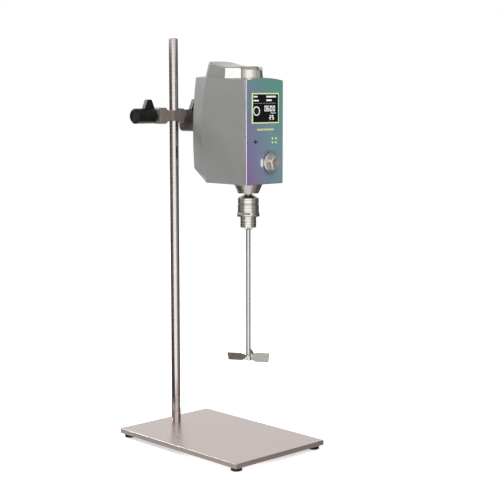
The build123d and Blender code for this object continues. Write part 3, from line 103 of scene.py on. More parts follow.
def vary(tree, shader, vector, grain_mm, shades, rough, detail=4.0):
    noise = add_node(tree, "ShaderNodeTexNoise", inputs={"Scale": 1 / (grain_mm * MM), "Detail": detail},
                     links={"Vector": vector}).outputs["Fac"]
    ramp = add_node(tree, "ShaderNodeValToRGB", links={"Fac": noise})
    for stop, shade, at in zip(ramp.color_ramp.elements, shades, (0.3, 0.7)):
        stop.color = linear(shade)
        stop.position = at
    tree.links.new(ramp.outputs["Color"], shader.inputs["Base Color"])
    span = add_node(tree, "ShaderNodeMapRange", inputs={
        "From Min": 0.3, "From Max": 0.7, "To Min": rough[0], "To Max": rough[1]}, links={"Value": noise})
    tree.links.new(span.outputs["Result"], shader.inputs["Roughness"])
    return ramp.outputs["Color"]


def relief(tree, shader, height, depth_mm):
    bump = add_node(tree, "ShaderNodeBump", inputs={"Distance": depth_mm * MM, "Strength": 1.0},
                    links={"Height": height})
    tree.links.new(bump.outputs["Normal"], shader.inputs["Normal"])


def grain(tree, vector, grain_mm, detail=3.0):
    return add_node(tree, "ShaderNodeTexNoise", inputs={"Scale": 1 / (grain_mm * MM), "Detail": detail},
                    links={"Vector": vector}).outputs["Fac"]


# %% [markdown]
# The base plate is stainless sheet, brushed along its length on a belt. Belt grit leaves scratches a few
# hundredths of a millimetre wide, far too fine to show, so the lines here are drawn about ten times coarser.
# The brushing is what spreads the rod's reflection into a soft vertical smear.

# %% Brushed stainless plate
def brushed_stainless():
    material, tree, shader, place = new_material("brushed_stainless", "#C3B8B4", 1.0, 0.34)
    lines = stretched(tree, place, (1.0, 0.02, 1.0))
    vary(tree, shader, lines, 1.2, ("#BCB0AC", "#CBBFBB"), (0.30, 0.40), 6.0)
    relief(tree, shader, grain(tree, lines, 0.5, 5.0), 0.004)
    return material


# %% [markdown]
# The stand rod, the stirring shaft and the blades are stainless bar, ground and then polished. Grinding
# turns the bar under the wheel, so its faint lines run round it: the noise is squeezed along the axis. The
# stand rod's steel is a shade warmer than the tool's, as plain chromium steel is beside an acid-proof grade.

# %% Polished stainless bar
def polished_stainless(name, shades):
    material, tree, shader, place = new_material(name, shades[0], 1.0, 0.14)
    rings = stretched(tree, place, (0.05, 0.05, 1.0))
    vary(tree, shader, rings, 2.0, shades, (0.11, 0.18))
    relief(tree, shader, grain(tree, rings, 0.6), 0.0015)
    return material


# %% [markdown]
# The feet are moulded rubber with a dull skin. Rubber scatters light at every angle, so its roughness is
# high and its colour never quite reaches black.

# %% Moulded rubber
def moulded_rubber():
    material, tree, shader, place = new_material("moulded_rubber", "#1B1B1C", 0.0, 0.8)
    vary(tree, shader, place, 3.0, ("#171718", "#222223"), (0.72, 0.88))
    relief(tree, shader, grain(tree, place, 0.5), 0.03)
    return material


# %% [markdown]
# Screws, washers and posts are steel with bright zinc plating: a bluish grey metal with a faint cloudiness
# from the bath.

# %% Zinc-plated steel
def zinc_plated():
    material, tree, shader, place = new_material("zinc_plated_steel", "#B4B7BA", 1.0, 0.3)
    vary(tree, shader, place, 1.5, ("#A9ADB1", "#C0C3C5"), (0.24, 0.38))
    return material


# %% [markdown]
# The boss head is an iron casting under a brown-grey enamel. Sand casting leaves a grainy skin that the
# enamel softens but does not hide, so two noises make the relief: a coarse one for the sand and a fine one
# for the paint's own texture.

# %% Enamelled casting
def enamelled_casting(name, shades):
    material, tree, shader, place = new_material(name, shades[0], 0.0, 0.4)
    vary(tree, shader, place, 4.0, shades, (0.34, 0.5))
    sand = grain(tree, place, 1.3)
    skin = grain(tree, place, 0.4)
    mixed = add_node(tree, "ShaderNodeMath", {"operation": "ADD"}, links={0: sand, 1: skin})
    relief(tree, shader, mixed.outputs["Value"], 0.08)
    return material


# %% [markdown]
# The wing knobs are black phenolic, pressed in a hot steel mould. It copies the mould's satin surface, so
# it shines softly, and handling polishes it unevenly.

# %% Black phenolic
def black_phenolic():
    material, tree, shader, place = new_material("black_phenolic", "#12110F", 0.0, 0.38, **{
        "Specular IOR Level": 0.3})
    vary(tree, shader, place, 6.0, ("#0D0C0A", "#151411"), (0.36, 0.5))
    relief(tree, shader, grain(tree, place, 0.6), 0.02)
    return material


# %% [markdown]
# The housing wears a grey metallic enamel. Tiny aluminium flakes in the paint are drawn as a fine cell
# pattern that lightens small spots. The spray gun leaves a slow, faint cloud of shade over the whole face and
# a finely pebbled skin.

# %% Grey metallic enamel
def metallic_enamel(name, shades, metallic, coat=0.0):
    material, tree, shader, place = new_material(name, shades[0], metallic, 0.42, **{
        "Coat Weight": coat, "Coat Roughness": 0.12})
    base = vary(tree, shader, place, 28.0, shades, (0.38, 0.46))
    flakes = add_node(tree, "ShaderNodeTexVoronoi", inputs={"Scale": 1 / (0.7 * MM)}, links={"Vector": place})
    shift = add_node(tree, "ShaderNodeHueSaturation", inputs={"Value": 1.05}, links={"Color": base})
    mix = add_node(tree, "ShaderNodeMix", {"data_type": "RGBA"}, links={
        "Factor": flakes.outputs["Distance"], 6: shift.outputs["Color"], 7: base})
    tree.links.new(mix.outputs[2], shader.inputs["Base Color"])
    relief(tree, shader, grain(tree, place, 0.9), 0.03)
    return material


# %% [markdown]
# The front plate is milled aluminium, clear anodised, and pale along its cut edge. The film on it is
# printed with a soft blend: teal at the top right, slate blue across the middle and violet at the lower
# left. Two ramps run up the panel, one for its left side and one for its right, and a third measure, across
# the panel, mixes them.

# %% Milled aluminium and the printed film
def milled_aluminium(name, shades, rough):
    material, tree, shader, place = new_material(name, shades[0], 1.0, rough[0])
    lines = stretched(tree, place, (1.0, 1.0, 0.05))
    vary(tree, shader, lines, 1.0, shades, rough, 5.0)
    relief(tree, shader, grain(tree, lines, 0.5), 0.003)
    return material


def printed_film():
    material, tree, shader, place = new_material("printed_film", "#6F8A98", 0.1, 0.3)
    low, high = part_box("panel_film")
    across = add_node(tree, "ShaderNodeSeparateXYZ", links={"Vector": place})
    full_right = 0.3 * low[0] + 0.7 * high[0]  # the right side's colours are reached before the edge
    right = add_node(tree, "ShaderNodeMapRange", inputs={"From Min": low[0], "From Max": full_right},
                     links={"Value": across.outputs["X"]}).outputs["Result"]
    up = add_node(tree, "ShaderNodeMapRange", inputs={"From Min": low[2], "From Max": high[2]},
                  links={"Value": across.outputs["Z"]}).outputs["Result"]
    left_side = add_node(tree, "ShaderNodeValToRGB", links={"Fac": up})
    right_side = add_node(tree, "ShaderNodeValToRGB", links={"Fac": up})
    blends = ((left_side, (("#8E6A9C", 0.0), ("#8277A4", 0.3), ("#7D849C", 0.62), ("#748F9B", 1.0))),
              (right_side, (("#76969E", 0.0), ("#7A9AA4", 0.3), ("#6E9998", 0.62), ("#5F9A8C", 1.0))))
    for ramp, stops in blends:
        elements = ramp.color_ramp.elements
        while len(elements) < len(stops):
            elements.new(0.5)
        for element, (shade, at) in zip(elements, stops):
            element.position = at
            element.color = linear(shade)
    mix = add_node(tree, "ShaderNodeMix", {"data_type": "RGBA"}, links={
        "Factor": right, 6: left_side.outputs["Color"], 7: right_side.outputs["Color"]})
    tree.links.new(mix.outputs[2], shader.inputs["Base Color"])
    relief(tree, shader, grain(tree, place, 0.5), 0.006)
    return material


# %% [markdown]
# Plain moulded plastics share one recipe: a slow shade change and a fine sparked texture from the mould.
# Lit parts of the screen and the lamps use the same recipe with a little glow of their own.

# %% Moulded plastics and lit parts
def moulded_plastic(name, shades, rough, relief_mm=0.01, shine=0.5):
    material, tree, shader, place = new_material(name, shades[0], 0.0, rough[0], **{
        "Specular IOR Level": shine})
    vary(tree, shader, place, 5.0, shades, rough)
    relief(tree, shader, grain(tree, place, 0.4), relief_mm)
    return material


def lit(name, colour, strength):
    material, tree, shader, place = new_material(name, colour, 0.0, 0.4, **{
        "Emission Color": linear(colour), "Emission Strength": strength})
    vary(tree, shader, place, 1.0, (colour, colour), (0.35, 0.45))
    return material


def clear_lens():
    material, tree, shader, place = new_material("clear_lens", "#F4F6F6", 0.0, 0.03, **{
        "Transmission Weight": 1.0, "IOR": 1.49})
    relief(tree, shader, grain(tree, place, 8.0), 0.002)
    return material


# %% [markdown]
# The cap's band and its foot lip are mirror polished and plated. A mirror shows only what is around it, so
# what matters is a very low roughness and the faint haze of handling. Pieces that come off a lathe, such as
# the collar and the gears, keep faint rings of the tool, and the control knob has such rings under a satin
# plating.

# %% Mirror plating and turned metal
def mirror_plating():
    material, tree, shader, place = new_material("mirror_plating", "#EFEDE8", 1.0, 0.07)
    vary(tree, shader, place, 12.0, ("#EDEBE6", "#F3F1EC"), (0.05, 0.09))
    return material


def turned_metal(name, shades, rough, groove_mm, metallic=1.0):
    material, tree, shader, place = new_material(name, shades[0], metallic, rough[0])
    rings = stretched(tree, place, (0.04, 0.04, 1.0))
    vary(tree, shader, rings, 1.6, shades, rough)
    relief(tree, shader, grain(tree, rings, 0.6), groove_mm)
    return material


# %% [markdown]
# The chuck is ground bright and then marked with fine V grooves round its outside, which give the fingers a
# hold. Each groove is drawn only in the colour, as a thin dark line of painted shade, with no relief of its
# own. They stand 4.6 mm apart. Three bands are painted darker as well, as painted shade: the sleeve's flare,
# its foot and the nose's rim.

# %% Grooved chuck steel
GROOVE_PITCH_MM = 4.6
GROOVE_PAINTED_SHADE, BAND_PAINTED_SHADE = 0.75, 0.65  # how much of the dark tone a groove and a duller band take


def grooved_steel():
    material, tree, shader, place = new_material("ground_steel", "#B5B4AE", 1.0, 0.22)
    rings = stretched(tree, place, (0.04, 0.04, 1.0))
    bright = vary(tree, shader, rings, 1.6, ("#D2D1CB", "#E0DFD9"), (0.2, 0.3))
    height = add_node(tree, "ShaderNodeSeparateXYZ", links={"Vector": place}).outputs["Z"]
    step = add_node(tree, "ShaderNodeMath", {"operation": "PINGPONG"}, inputs={1: GROOVE_PITCH_MM * MM / 2},
                    links={0: height}).outputs["Value"]
    line = add_node(tree, "ShaderNodeMapRange", inputs={
        "From Min": 0.35 * MM, "From Max": 0.1 * MM, "To Min": 0.0, "To Max": GROOVE_PAINTED_SHADE},
        links={"Value": step})
    dark = line.outputs["Result"]
    sleeve_foot, nose_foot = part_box("chuck_sleeve")[0][2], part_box("chuck_body")[0][2]
    # The bands painted darker as shade, the flare, the sleeve's foot and the nose's rim: the middle of each
    # band, and half its height in mm.
    painted_dark_bands = ((sleeve_foot + 5.5 * MM, 1.7), (sleeve_foot + 0.7 * MM, 0.9), (nose_foot + 0.9 * MM, 1.1))
    for middle, half_mm in painted_dark_bands:
        near = add_node(tree, "ShaderNodeMath", {"operation": "COMPARE"}, inputs={1: middle, 2: half_mm * MM},
                        links={0: height}).outputs["Value"]
        band_shade = add_node(tree, "ShaderNodeMath", {"operation": "MULTIPLY"}, inputs={1: BAND_PAINTED_SHADE},
                        links={0: near}).outputs["Value"]
        dark = add_node(tree, "ShaderNodeMath", {"operation": "MAXIMUM"},
                        links={0: dark, 1: band_shade}).outputs["Value"]
    # Painted shade: the grooves and the darker bands pull the bright steel toward this dark tone.
    mix = add_node(tree, "ShaderNodeMix", {"data_type": "RGBA"}, inputs={7: linear("#3A3936")}, links={
        "Factor": dark, 6: bright})
    tree.links.new(mix.outputs[2], shader.inputs["Base Color"])
    relief(tree, shader, grain(tree, rings, 0.6), 0.003)
    return material


# %% [markdown]
# The display's frame is moulded black and printed yellow-green on its outer rim only, so the dark screen
# seems to run on under it. The rim is 2.1 mm wide, measured in from the frame's own edges. The frame is also
# given a faint glow, strongest on the rim: painted light, since the frame is no lamp.

# %% Two-tone display frame
def two_tone_frame(rim_mm=2.1):
    material, tree, shader, place = new_material("display_frame", "#D3E59E", 0.0, 0.35)
    low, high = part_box("display_bezel")
    parts = add_node(tree, "ShaderNodeSeparateXYZ", links={"Vector": place})
    reach = []
    for axis, i in (("X", 0), ("Z", 2)):
        shift = add_node(tree, "ShaderNodeMath", {"operation": "SUBTRACT"},
                         inputs={1: (low[i] + high[i]) / 2}, links={0: parts.outputs[axis]})
        apart = add_node(tree, "ShaderNodeMath", {"operation": "ABSOLUTE"}, links={0: shift.outputs["Value"]})
        inner = (high[i] - low[i]) / 2 - rim_mm * MM
        reach.append(add_node(tree, "ShaderNodeMath", {"operation": "GREATER_THAN"}, inputs={1: inner},
                              links={0: apart.outputs["Value"]}).outputs["Value"])
    rim = add_node(tree, "ShaderNodeMath", {"operation": "MAXIMUM"}, links={0: reach[0], 1: reach[1]})
    mix = add_node(tree, "ShaderNodeMix", {"data_type": "RGBA"}, inputs={
        6: linear("#0C0C0E"), 7: linear("#DBE9B2")}, links={"Factor": rim.outputs["Value"]})
    tree.links.new(mix.outputs[2], shader.inputs["Base Color"])
    # Painted light: a faint glow in the frame's colours, though the frame is no lamp.
    tree.links.new(mix.outputs[2], shader.inputs["Emission Color"])
    shader.inputs["Emission Strength"].default_value = 0.12
    relief(tree, shader, grain(tree, place, 0.4), 0.008)
    return material


# %% [markdown]
# The ring behind the control knob is turned aluminium, anodised slate blue to sit quietly on the film. Its
# tool marks are circles round the knob, drawn as relief at 0.8 mm, about ten times their real pitch. Such
# marks throw light back as a bow tie; that glint is painted into the colour, so the metal is painted near
# white at the left and right, a painted highlight that does not follow the lamps.

# %% Slate ring
RING_GROOVE_MM = 0.8
GLINT_PAINT_STARTS, GLINT_PAINT_FULL = 0.9, 0.99  # sideways share of a point's distance from the ring's middle


def slate_ring():
    material, tree, shader, place = new_material("slate_anodised", "#6F8093", 0.15, 0.3)
    slate = vary(tree, shader, place, 5.0, ("#75819A", "#7C8AA0"), (0.26, 0.36))
    low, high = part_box("knob_ring")
    middle = [-(a + b) / 2 for a, b in zip(low, high)]
    centred = add_node(tree, "ShaderNodeVectorMath", {"operation": "ADD"}, {1: middle}, {0: place})
    grooves = add_node(tree, "ShaderNodeTexWave", {"wave_type": "RINGS", "rings_direction": "Y"}, inputs={
        "Scale": 0.05 * pi / (RING_GROOVE_MM * MM), "Distortion": 0.0},
        links={"Vector": centred.outputs["Vector"]})
    relief(tree, shader, grooves.outputs["Fac"], 0.02)
    outward = add_node(tree, "ShaderNodeVectorMath", {"operation": "NORMALIZE"},
                       links={0: centred.outputs["Vector"]}).outputs["Vector"]
    across = add_node(tree, "ShaderNodeSeparateXYZ", links={"Vector": outward}).outputs["X"]
    across = add_node(tree, "ShaderNodeMath", {"operation": "ABSOLUTE"}, links={0: across}).outputs["Value"]
    # Painted highlight: the colour turns near white at the ring's left and right.
    painted_glint = add_node(tree, "ShaderNodeMapRange", {"interpolation_type": "SMOOTHSTEP"}, inputs={
        "From Min": GLINT_PAINT_STARTS, "From Max": GLINT_PAINT_FULL}, links={"Value": across}).outputs["Result"]
    mix = add_node(tree, "ShaderNodeMix", {"data_type": "RGBA"}, inputs={7: linear("#F4F1F4")}, links={
        "Factor": painted_glint, 6: slate})
    tree.links.new(mix.outputs[2], shader.inputs["Base Color"])
    return material


# %% [markdown]
# Each node of the frame has one material slot. A table gives the finish for each slot of the record, and
# the loop below lays it on every node that uses that slot. The control knob and the stand rod each have a
# finish of their own.

# %% Lay the finishes on the frame's nodes
finishes = {
    "plate_steel": brushed_stainless(),
    "rod_steel": polished_stainless("polished_stainless", ("#C9C8C5", "#DAD9D6")),
    "foot_rubber": moulded_rubber(),
    "fastener_steel": zinc_plated(),
    "bush_nylon": moulded_plastic("natural_nylon", ("#D9D5C6", "#E2DFD2"), (0.45, 0.55)),
    "clamp_casting": enamelled_casting("brown_grey_enamel", ("#776C68", "#877A75")),
    "pad_brass": turned_metal("turned_brass", ("#C7A15A", "#D4B06A"), (0.25, 0.35), 0.004),
    "knob_plastic": black_phenolic(),
    "arm_steel": enamelled_casting("dark_enamel", ("#4B4643", "#57514D")),
    "housing_paint": metallic_enamel("grey_metallic_enamel", ("#848482", "#888886"), 0.1),
    "front_aluminium": milled_aluminium("milled_aluminium", ("#E6E6EA", "#F0F0F3"), (0.22, 0.32)),
    "film_colour": printed_film(),
    "bezel_colour": two_tone_frame(),
    "window_glass": clear_lens(),
    "screen_black": moulded_plastic("screen_black", ("#060608", "#0A0A0E"), (0.4, 0.5), 0.001, 0.1),
    "lamp_lens": lit("lamp_yellow_green", "#D8E168", 0.5),
    "board_green": moulded_plastic("solder_mask", ("#12402A", "#184E34"), (0.35, 0.45)),
    "polished_metal": mirror_plating(),
    "ring_aluminium": slate_ring(),
    "cap_plastic": metallic_enamel("cap_enamel", ("#797977", "#7F7F7D"), 0.1, 0.55),
    "gear_steel": turned_metal("machined_steel", ("#9C9DA0", "#ABACAE"), (0.25, 0.38), 0.004),
    "deck_aluminium": milled_aluminium("deck_aluminium", ("#C4C5C8", "#D0D1D3"), (0.3, 0.42)),
    "motor_steel": moulded_plastic("motor_enamel", ("#1E1E20", "#262628"), (0.35, 0.5)),
    "collar_aluminium": turned_metal("blasted_aluminium", ("#BBB3B0", "#C7BFBC"), (0.3, 0.4), 0.006),
    "chuck_steel": grooved_steel(),
    "inlet_plastic": moulded_plastic("black_plastic", ("#141415", "#1B1B1D"), (0.4, 0.52)),
}
special = {
    "control_knob": turned_metal("satin_plating", ("#CEC7C0", "#DDD6CF"), (0.2, 0.28), 0.004, 0.75),
    "stand_rod": polished_stainless("warm_stainless", ("#CCC3C0", "#DDD5D2")),
}
slot_of = {part["node"]: part["material_slot"] for part in frame["record"]["subparts"]}
for node, piece in frame["nodes"].items():
    for place in piece.material_slots:
        place.material = special.get(node) or finishes[slot_of[node]]
print("finishes:", len(finishes) + len(special))

# %% [markdown]
# Printed and lit marks are thin plates, so they are real geometry and survive any lighting. Every plate starts
# as a bmesh shape in the plane of the panel, is given a thickness by extruding, and stands a few hundredths of
# a millimetre proud of what carries it. `panel_point` turns millimetres measured on the panel, across and up
# from the middle of its foot, into the frame's metres.

# %% Panel coordinates and the plate helper
housing_low, housing_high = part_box("housing_shell")
panel_middle = (housing_low[0] + housing_high[0]) / 2
panel_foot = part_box("front_plate")[0][2]
film_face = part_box("panel_film")[0][1]
screen_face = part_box("display_module")[0][1]
MARK_T = 0.12 * MM


def panel_point(across, up, face):
    return Vector((panel_middle + across * MM, face, panel_foot + up * MM))


def corners_of(geometry):
    return [item for item in geometry if isinstance(item, bmesh.types.BMVert)]


def keep(name, bm, material, body):
    """Closes a bmesh into a piece that rides on a body."""
    bmesh.ops.remove_doubles(bm, verts=bm.verts, dist=1e-7)
    bmesh.ops.recalc_face_normals(bm, faces=bm.faces)
    mesh = bpy.data.meshes.new(name)
    bm.to_mesh(mesh)
    bm.free()
    piece = bpy.data.objects.new(name, mesh)
    bpy.context.collection.objects.link(piece)
    mesh.materials.append(material)
    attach(piece, body)


def add_bar(bm, centre, width, height, face):
    """A flat bar on the panel, standing towards -Y from its face."""
    made = bmesh.ops.create_grid(bm, x_segments=1, y_segments=1, size=0.5)["verts"]
    stand_up = Matrix.Rotation(radians(90), 4, "X")
    size = Matrix.Diagonal((width * MM, height * MM, 1.0, 1.0))
    to_place = Matrix.Translation(panel_point(*centre, face))
    bmesh.ops.transform(bm, matrix=to_place @ stand_up @ size, verts=made)
    faces = [f for f in bm.faces if all(v in made for v in f.verts)]
    lifted = bmesh.ops.extrude_face_region(bm, geom=faces)["geom"]
    bmesh.ops.translate(bm, vec=(0, -MARK_T, 0), verts=corners_of(lifted))


print("panel middle", round(panel_middle, 4), "foot", round(panel_foot, 4))

# %% [markdown]
# The readout shows plain numbers. Each digit is drawn the way a segment display draws it, from seven
# straight bars, so a digit is only a list of the bars that are lit, and only the digits in use are listed.
# Slim bars at the top stand for the headings, a thin line parts them from the values, and a ring on the left
# marks the turning spindle. All places and sizes are in millimetres on the panel.

# %% The readout
SEGMENTS = {"0": "abcdef", "2": "abged", "5": "afgcd", "6": "afgedc"}
BAR_PLACES = {
    "a": (0, 1, True), "b": (0.5, 0.5, False), "c": (0.5, -0.5, False), "d": (0, -1, True),
    "e": (-0.5, -0.5, False), "f": (-0.5, 0.5, False), "g": (0, 0, True),
}
UPPER_FIGURES = {"text": "0600", "left": 0.5, "middle": 125.0,
                 "width": 3.6, "height": 8.0, "stroke": 1.3, "pitch": 6.4}
LOWER_FIGURES = {"text": "25", "left": 11.5, "middle": 110.5,
                 "width": 3.2, "height": 6.0, "stroke": 1.2, "pitch": 6.0}
PLAIN_BARS = (((-20.5, 144.5), (9.0, 2.2)), ((-19.5, 138.0), (12.0, 2.2)), ((15.0, 144.5), (22.0, 2.6)),
              ((10.0, 138.5), (12.0, 2.6)), ((20.0, 117.5), (12.0, 0.9)))
RULE_MIDDLE, RULE_SIZE = (0.0, 133.5), (52.0, 0.7)
RING_MIDDLE, RING_R, RING_STROKE = (-18.5, 121.0), 6.8, 1.7


def add_digits(bm, text, left, middle, width, height, stroke, pitch):
    for place, digit in enumerate(text):
        for bar in SEGMENTS[digit]:
            x, z, lying = BAR_PLACES[bar]
            size = (width, stroke) if lying else (stroke, height / 2)
            centre = (left + place * pitch + width / 2 + x * width, middle + z * height / 2)
            add_bar(bm, centre, *size, screen_face)


screen_white = lit("screen_white", "#F4F4F6", 0.75)
screen_bm = bmesh.new()
add_digits(screen_bm, **UPPER_FIGURES)
add_digits(screen_bm, **LOWER_FIGURES)
for centre, size in PLAIN_BARS:
    add_bar(screen_bm, centre, *size, screen_face)
keep("screen_figures", screen_bm, screen_white, "head")

line_bm = bmesh.new()
add_bar(line_bm, RULE_MIDDLE, *RULE_SIZE, screen_face)
keep("screen_rule", line_bm, lit("screen_grey", "#9A9AA2", 0.5), "head")

ring_bm = bmesh.new()
outer = bmesh.ops.create_circle(ring_bm, segments=48, radius=(RING_R + RING_STROKE / 2) * MM)["verts"]
edges = list({e for v in outer for e in v.link_edges})
inner = corners_of(bmesh.ops.extrude_edge_only(ring_bm, edges=edges)["geom"])
bmesh.ops.scale(ring_bm, vec=[(RING_R - RING_STROKE / 2) / (RING_R + RING_STROKE / 2)] * 3, verts=inner)
lifted = bmesh.ops.extrude_face_region(ring_bm, geom=ring_bm.faces[:])["geom"]
bmesh.ops.translate(ring_bm, vec=(0, 0, MARK_T), verts=corners_of(lifted))
upright = Matrix.Translation(panel_point(*RING_MIDDLE, screen_face)) @ Matrix.Rotation(radians(90), 4, "X")
bmesh.ops.transform(ring_bm, matrix=upright, verts=ring_bm.verts)
keep("screen_ring", ring_bm, screen_white, "head")

# %% [markdown]
# Below the screen the film carries a row of plain yellow marks, and below them a small dark mark on the
# left. They say nothing: they only keep the rhythm of the printed panel. The yellow marks are print but are
# given a faint glow of their own: painted light.

# %% Marks printed on the film
ROW_COUNT, ROW_START, ROW_PITCH, ROW_MARK = 8, (-16.5, 90.6), 4.9, (3.6, 3.0)
DARK_MARK = (((-22.0, 70.0), (11.0, 1.3)), ((-22.0, 71.6), (4.6, 3.4)), ((-22.0, 68.2), (2.0, 3.0)))

# Painted light: the printed yellow marks glow faintly.
glowing_yellow_print = lit("glowing_yellow_print", "#D2DB8C", 0.12)
mark_bm = bmesh.new()
for i in range(ROW_COUNT):
    add_bar(mark_bm, (ROW_START[0] + i * ROW_PITCH, ROW_START[1]), *ROW_MARK, film_face)
keep("film_marks", mark_bm, glowing_yellow_print, "head")

icon_bm = bmesh.new()
for centre, size in DARK_MARK:
    add_bar(icon_bm, centre, *size, film_face)
keep("film_dark_mark", icon_bm, moulded_plastic("print_black", ("#23262E", "#2A2D35"), (0.3, 0.4)), "head")

# %% [markdown]
# The floor is a plain pale sheet under white studio light. To the camera, and in reflections, it glows just
# enough to meet the white background, while it still takes the object's soft shadow.

# %% Floor and background
FLOOR_REACH = 6.0  # metres from the middle to each edge
FLOOR_GLOW = 0.56


def pale_floor():
    material = bpy.data.materials.new("pale_floor")
    material.use_nodes = True
    tree = material.node_tree
    tree.nodes.clear()
    ray = add_node(tree, "ShaderNodeLightPath").outputs
    seen = add_node(tree, "ShaderNodeMath", {"operation": "MAXIMUM"},
                    links={0: ray["Is Camera Ray"], 1: ray["Is Glossy Ray"]}).outputs["Value"]
    seen = add_node(tree, "ShaderNodeMath", {"operation": "MAXIMUM"},
                    links={0: seen, 1: ray["Is Transmission Ray"]}).outputs["Value"]
    glow = add_node(tree, "ShaderNodeMath", {"operation": "MULTIPLY"}, inputs={1: FLOOR_GLOW},
                    links={0: seen}).outputs["Value"]
    matte = add_node(tree, "ShaderNodeBsdfDiffuse", inputs={"Color": linear("#EDEDED")})
    light = add_node(tree, "ShaderNodeEmission", inputs={"Color": linear("#FFFFFF")},
                     links={"Strength": glow})
    both = add_node(tree, "ShaderNodeAddShader", links={
        0: matte.outputs["BSDF"], 1: light.outputs["Emission"]})
    add_node(tree, "ShaderNodeOutputMaterial", links={"Surface": both.outputs["Shader"]})
    return material


floor_bm = bmesh.new()
bmesh.ops.create_grid(floor_bm, x_segments=1, y_segments=1, size=FLOOR_REACH)
floor_mesh = bpy.data.meshes.new("floor")
floor_bm.to_mesh(floor_mesh)
floor_bm.free()
floor_mesh.materials.append(pale_floor())
floor = bpy.data.objects.new("floor", floor_mesh)
bpy.context.collection.objects.link(floor)

# %% [markdown]
# The world is an even white sky, a little dimmer as light than it looks, so that pale faces keep their
# shading while the background stays white.

# %% World
SKY_AS_LIGHT, SKY_AS_SEEN = 0.62, 1.0

world = bpy.data.worlds.new("studio")
world.use_nodes = True
bpy.context.scene.world = world
sky = world.node_tree
sky.nodes.clear()
ray = add_node(sky, "ShaderNodeLightPath").outputs
lighting_sky = add_node(sky, "ShaderNodeBackground", inputs={
    "Color": linear("#FFFFFF"), "Strength": SKY_AS_LIGHT})
white_sky = add_node(sky, "ShaderNodeBackground", inputs={
    "Color": linear("#FFFFFF"), "Strength": SKY_AS_SEEN})
final_sky = add_node(sky, "ShaderNodeMixShader", links={
    0: ray["Is Diffuse Ray"], 1: white_sky.outputs["Background"], 2: lighting_sky.outputs["Background"]})
add_node(sky, "ShaderNodeOutputWorld", links={"Surface": final_sky.outputs["Shader"]})

# %% [markdown]
# A polished rod shows only what stands round it, and in an all-white room it would look like white plastic.
# A product studio sets black cards beside such an object and a white one in front. These curved cards do
# the same: they are seen in reflections alone, give no light and cast no shadow. Angles run round the
# object from the camera's side, positive to the right of the picture. Low cards serve the rod, the shaft
# and the chuck. The tall ones begin above them: white beside the cap's flat side, and a row of close greys
# that shades its round nose from dark to light and back. A wide grey card overhead keeps the bevels and the
# top edges from burning out, with a lighter one at its left and a dark one to the left and rear. Two small
# cards lie just above the floor, beside and before the plate.

# %% Reflection cards
CAMERA_SIDE = radians(-90 - 42.78)
CARD_RADIUS, CARD_STEPS = 1.5, 12
CARD_TIP = 0.02    # how near a floor card's inner edge comes to the middle, in metres
NEAR_FLOOR = 0.1   # a card whose foot is lower than this reaches in over the floor


def show_in_reflections(name, bm, shade, strength):
    """Gives a sheet an even tone that only mirrors and the lens can see."""
    mesh = bpy.data.meshes.new(name)
    bm.to_mesh(mesh)
    bm.free()
    material = bpy.data.materials.new(name)
    material.use_nodes = True
    tree = material.node_tree
    tree.nodes.clear()
    glow = add_node(tree, "ShaderNodeEmission", inputs={"Color": linear(shade), "Strength": strength})
    add_node(tree, "ShaderNodeOutputMaterial", links={"Surface": glow.outputs["Emission"]})
    mesh.materials.append(material)
    piece = bpy.data.objects.new(name, mesh)
    bpy.context.collection.objects.link(piece)
    for kind in ("camera", "diffuse", "volume_scatter", "shadow"):
        setattr(piece, "visible_" + kind, False)


def card(name, start, end, low, high, shade, strength=1.0):
    """An upright curved card; one that stands on the floor also reaches in over the floor to the object."""
    bm = bmesh.new()
    turns = [CAMERA_SIDE + radians(start + (end - start) * i / CARD_STEPS) for i in range(CARD_STEPS + 1)]
    levels = [(CARD_RADIUS, high), (CARD_RADIUS, low)] + ([(CARD_TIP, low)] if low < NEAR_FLOOR else [])
    rows = [[bm.verts.new((r * cos(t), r * sin(t), z)) for t in turns] for r, z in levels]
    for upper, lower in zip(rows, rows[1:]):
        for i in range(CARD_STEPS):
            bm.faces.new((upper[i], upper[i + 1], lower[i + 1], lower[i]))
    show_in_reflections(name, bm, shade, strength)


FLOOR, LINE, TALL, HIGH = 0.0005, 0.755, 1.3, 2.1
card("card_left_black", -146, -76, FLOOR, LINE, "#45413E")
card("card_left_grey", -76, -42, FLOOR, LINE, "#625F5C")
card("card_front_white", -34, 28, FLOOR, LINE, "#FFFFFF", 1.3)
card("card_right_grey", 36, 78, FLOOR, LINE, "#A3A19C")
card("card_right_dark", 78, 152, FLOOR, LINE, "#5B5855")
card("card_side_white", -108, -9, LINE, TALL, "#FFFFFF", 1.15)
card("card_nose_line", -9, -4, LINE, TALL, "#85837E")
card("card_nose_start", -4, 5, LINE, HIGH, "#B2B1AC")
card("card_nose_rise", 5, 13, LINE, HIGH, "#CBCAC5")
card("card_nose_bright", 13, 21, LINE, HIGH, "#E4E3DE")
card("card_nose_fall", 54, 64, LINE, HIGH, "#DEDDD8")
card("card_nose_end", 64, 78, LINE, HIGH, "#C4C3BE")
card("card_nose_side", 78, 112, LINE, HIGH, "#A6A6A1")
card("card_nose_rear", 112, 150, LINE, HIGH, "#7A7A76")


def flat_card(name, middle, size, height, shade):
    """A level card, seen from below or from above."""
    bm = bmesh.new()
    spread = Matrix.Translation((*middle, height)) @ Matrix.Diagonal((*size, 1.0, 1.0))
    bmesh.ops.create_grid(bm, x_segments=1, y_segments=1, size=0.5, matrix=spread)
    show_in_reflections(name, bm, shade, 1.0)


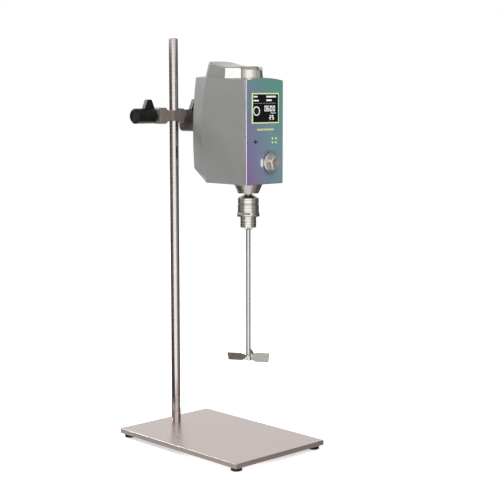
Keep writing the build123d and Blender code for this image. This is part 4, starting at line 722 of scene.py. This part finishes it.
flat_card("card_above", (0.0, 0.0), (3.0, 3.0), HIGH, "#A8A7A2")
flat_card("card_above_left", (-1.4, -0.35), (0.8, 0.8), HIGH - 0.1, "#D6D5CF")
flat_card("card_above_rear", (-0.85, 0.3), (1.1, 1.1), HIGH - 0.05, "#504E4B")
flat_card("card_beside_plate", (-0.149, 0.0), (0.088, 0.5), 0.001, "#C8C4C1")
flat_card("card_before_plate", (0.0, -0.2), (0.28, 0.09), 0.001, "#9E9A98")

# %% [markdown]
# Three square area lamps light the head softly. The key stands in front and above, the stronger one stands
# behind and to the left and rakes over the housing's side, and a weak low one at the left lifts what both
# leave dark. A large lamp gives its shadow a soft edge, so the sizes matter as much as the powers.

# %% Lamps
def soft_lamp(name, place, aim, size, power):
    lamp = bpy.data.lights.new(name, "AREA")
    lamp.shape = "SQUARE"
    lamp.size = size
    lamp.energy = power
    holder = bpy.data.objects.new(name, lamp)
    bpy.context.collection.objects.link(holder)
    holder.location = place
    holder.rotation_euler = (Vector(aim) - Vector(place)).to_track_quat("-Z", "Y").to_euler()


HEAD_MIDDLE = (0.03, 0.0, 0.5)
soft_lamp("key", (-0.6, -2.2, 2.4), HEAD_MIDDLE, 1.6, 26.0)
soft_lamp("rear", (-0.7, 2.7, 1.9), HEAD_MIDDLE, 1.0, 66.0)
soft_lamp("low_left", (-1.6, 0.9, 0.2), HEAD_MIDDLE, 0.8, 5.0)

# %% [markdown]
# The camera stands in front and to the left, a little over two metres away, just above the head's middle,
# and looks slightly down. A longish lens keeps the plate's far edges almost parallel. A small shift puts
# the stand where it belongs in the square picture.

# %% Camera
AZIMUTH, ELEVATION, ROLL = radians(-42.78), radians(7.08), radians(-0.17)
DISTANCE = 2.1028
AIM = Vector((0.0, -0.01962, 0.33871))
PICTURE, FOCAL_PX, SENSOR = 500.0, 1243.6, 36.0
SHIFT_PX = (-22.63, -0.29)
back = Vector((sin(AZIMUTH) * cos(ELEVATION), -cos(AZIMUTH) * cos(ELEVATION), sin(ELEVATION)))
level_right = Vector((cos(AZIMUTH), sin(AZIMUTH), 0.0))
level_up = back.cross(level_right)
right = level_right * cos(ROLL) + level_up * sin(ROLL)
up = level_up * cos(ROLL) - level_right * sin(ROLL)
camera_data = bpy.data.cameras.new("camera")
camera_data.sensor_width = SENSOR
camera_data.lens = FOCAL_PX / PICTURE * SENSOR
camera_data.shift_x = -SHIFT_PX[0] / PICTURE
camera_data.shift_y = SHIFT_PX[1] / PICTURE
camera = bpy.data.objects.new("camera", camera_data)
bpy.context.collection.objects.link(camera)
axes = Matrix((right, up, back)).transposed()
camera.matrix_world = Matrix.Translation(AIM + back * DISTANCE) @ axes.to_4x4()
bpy.context.scene.camera = camera
bpy.context.scene.view_settings.view_transform = "Standard"
print("lens", round(camera_data.lens, 2), "at", [round(c, 3) for c in camera.location])
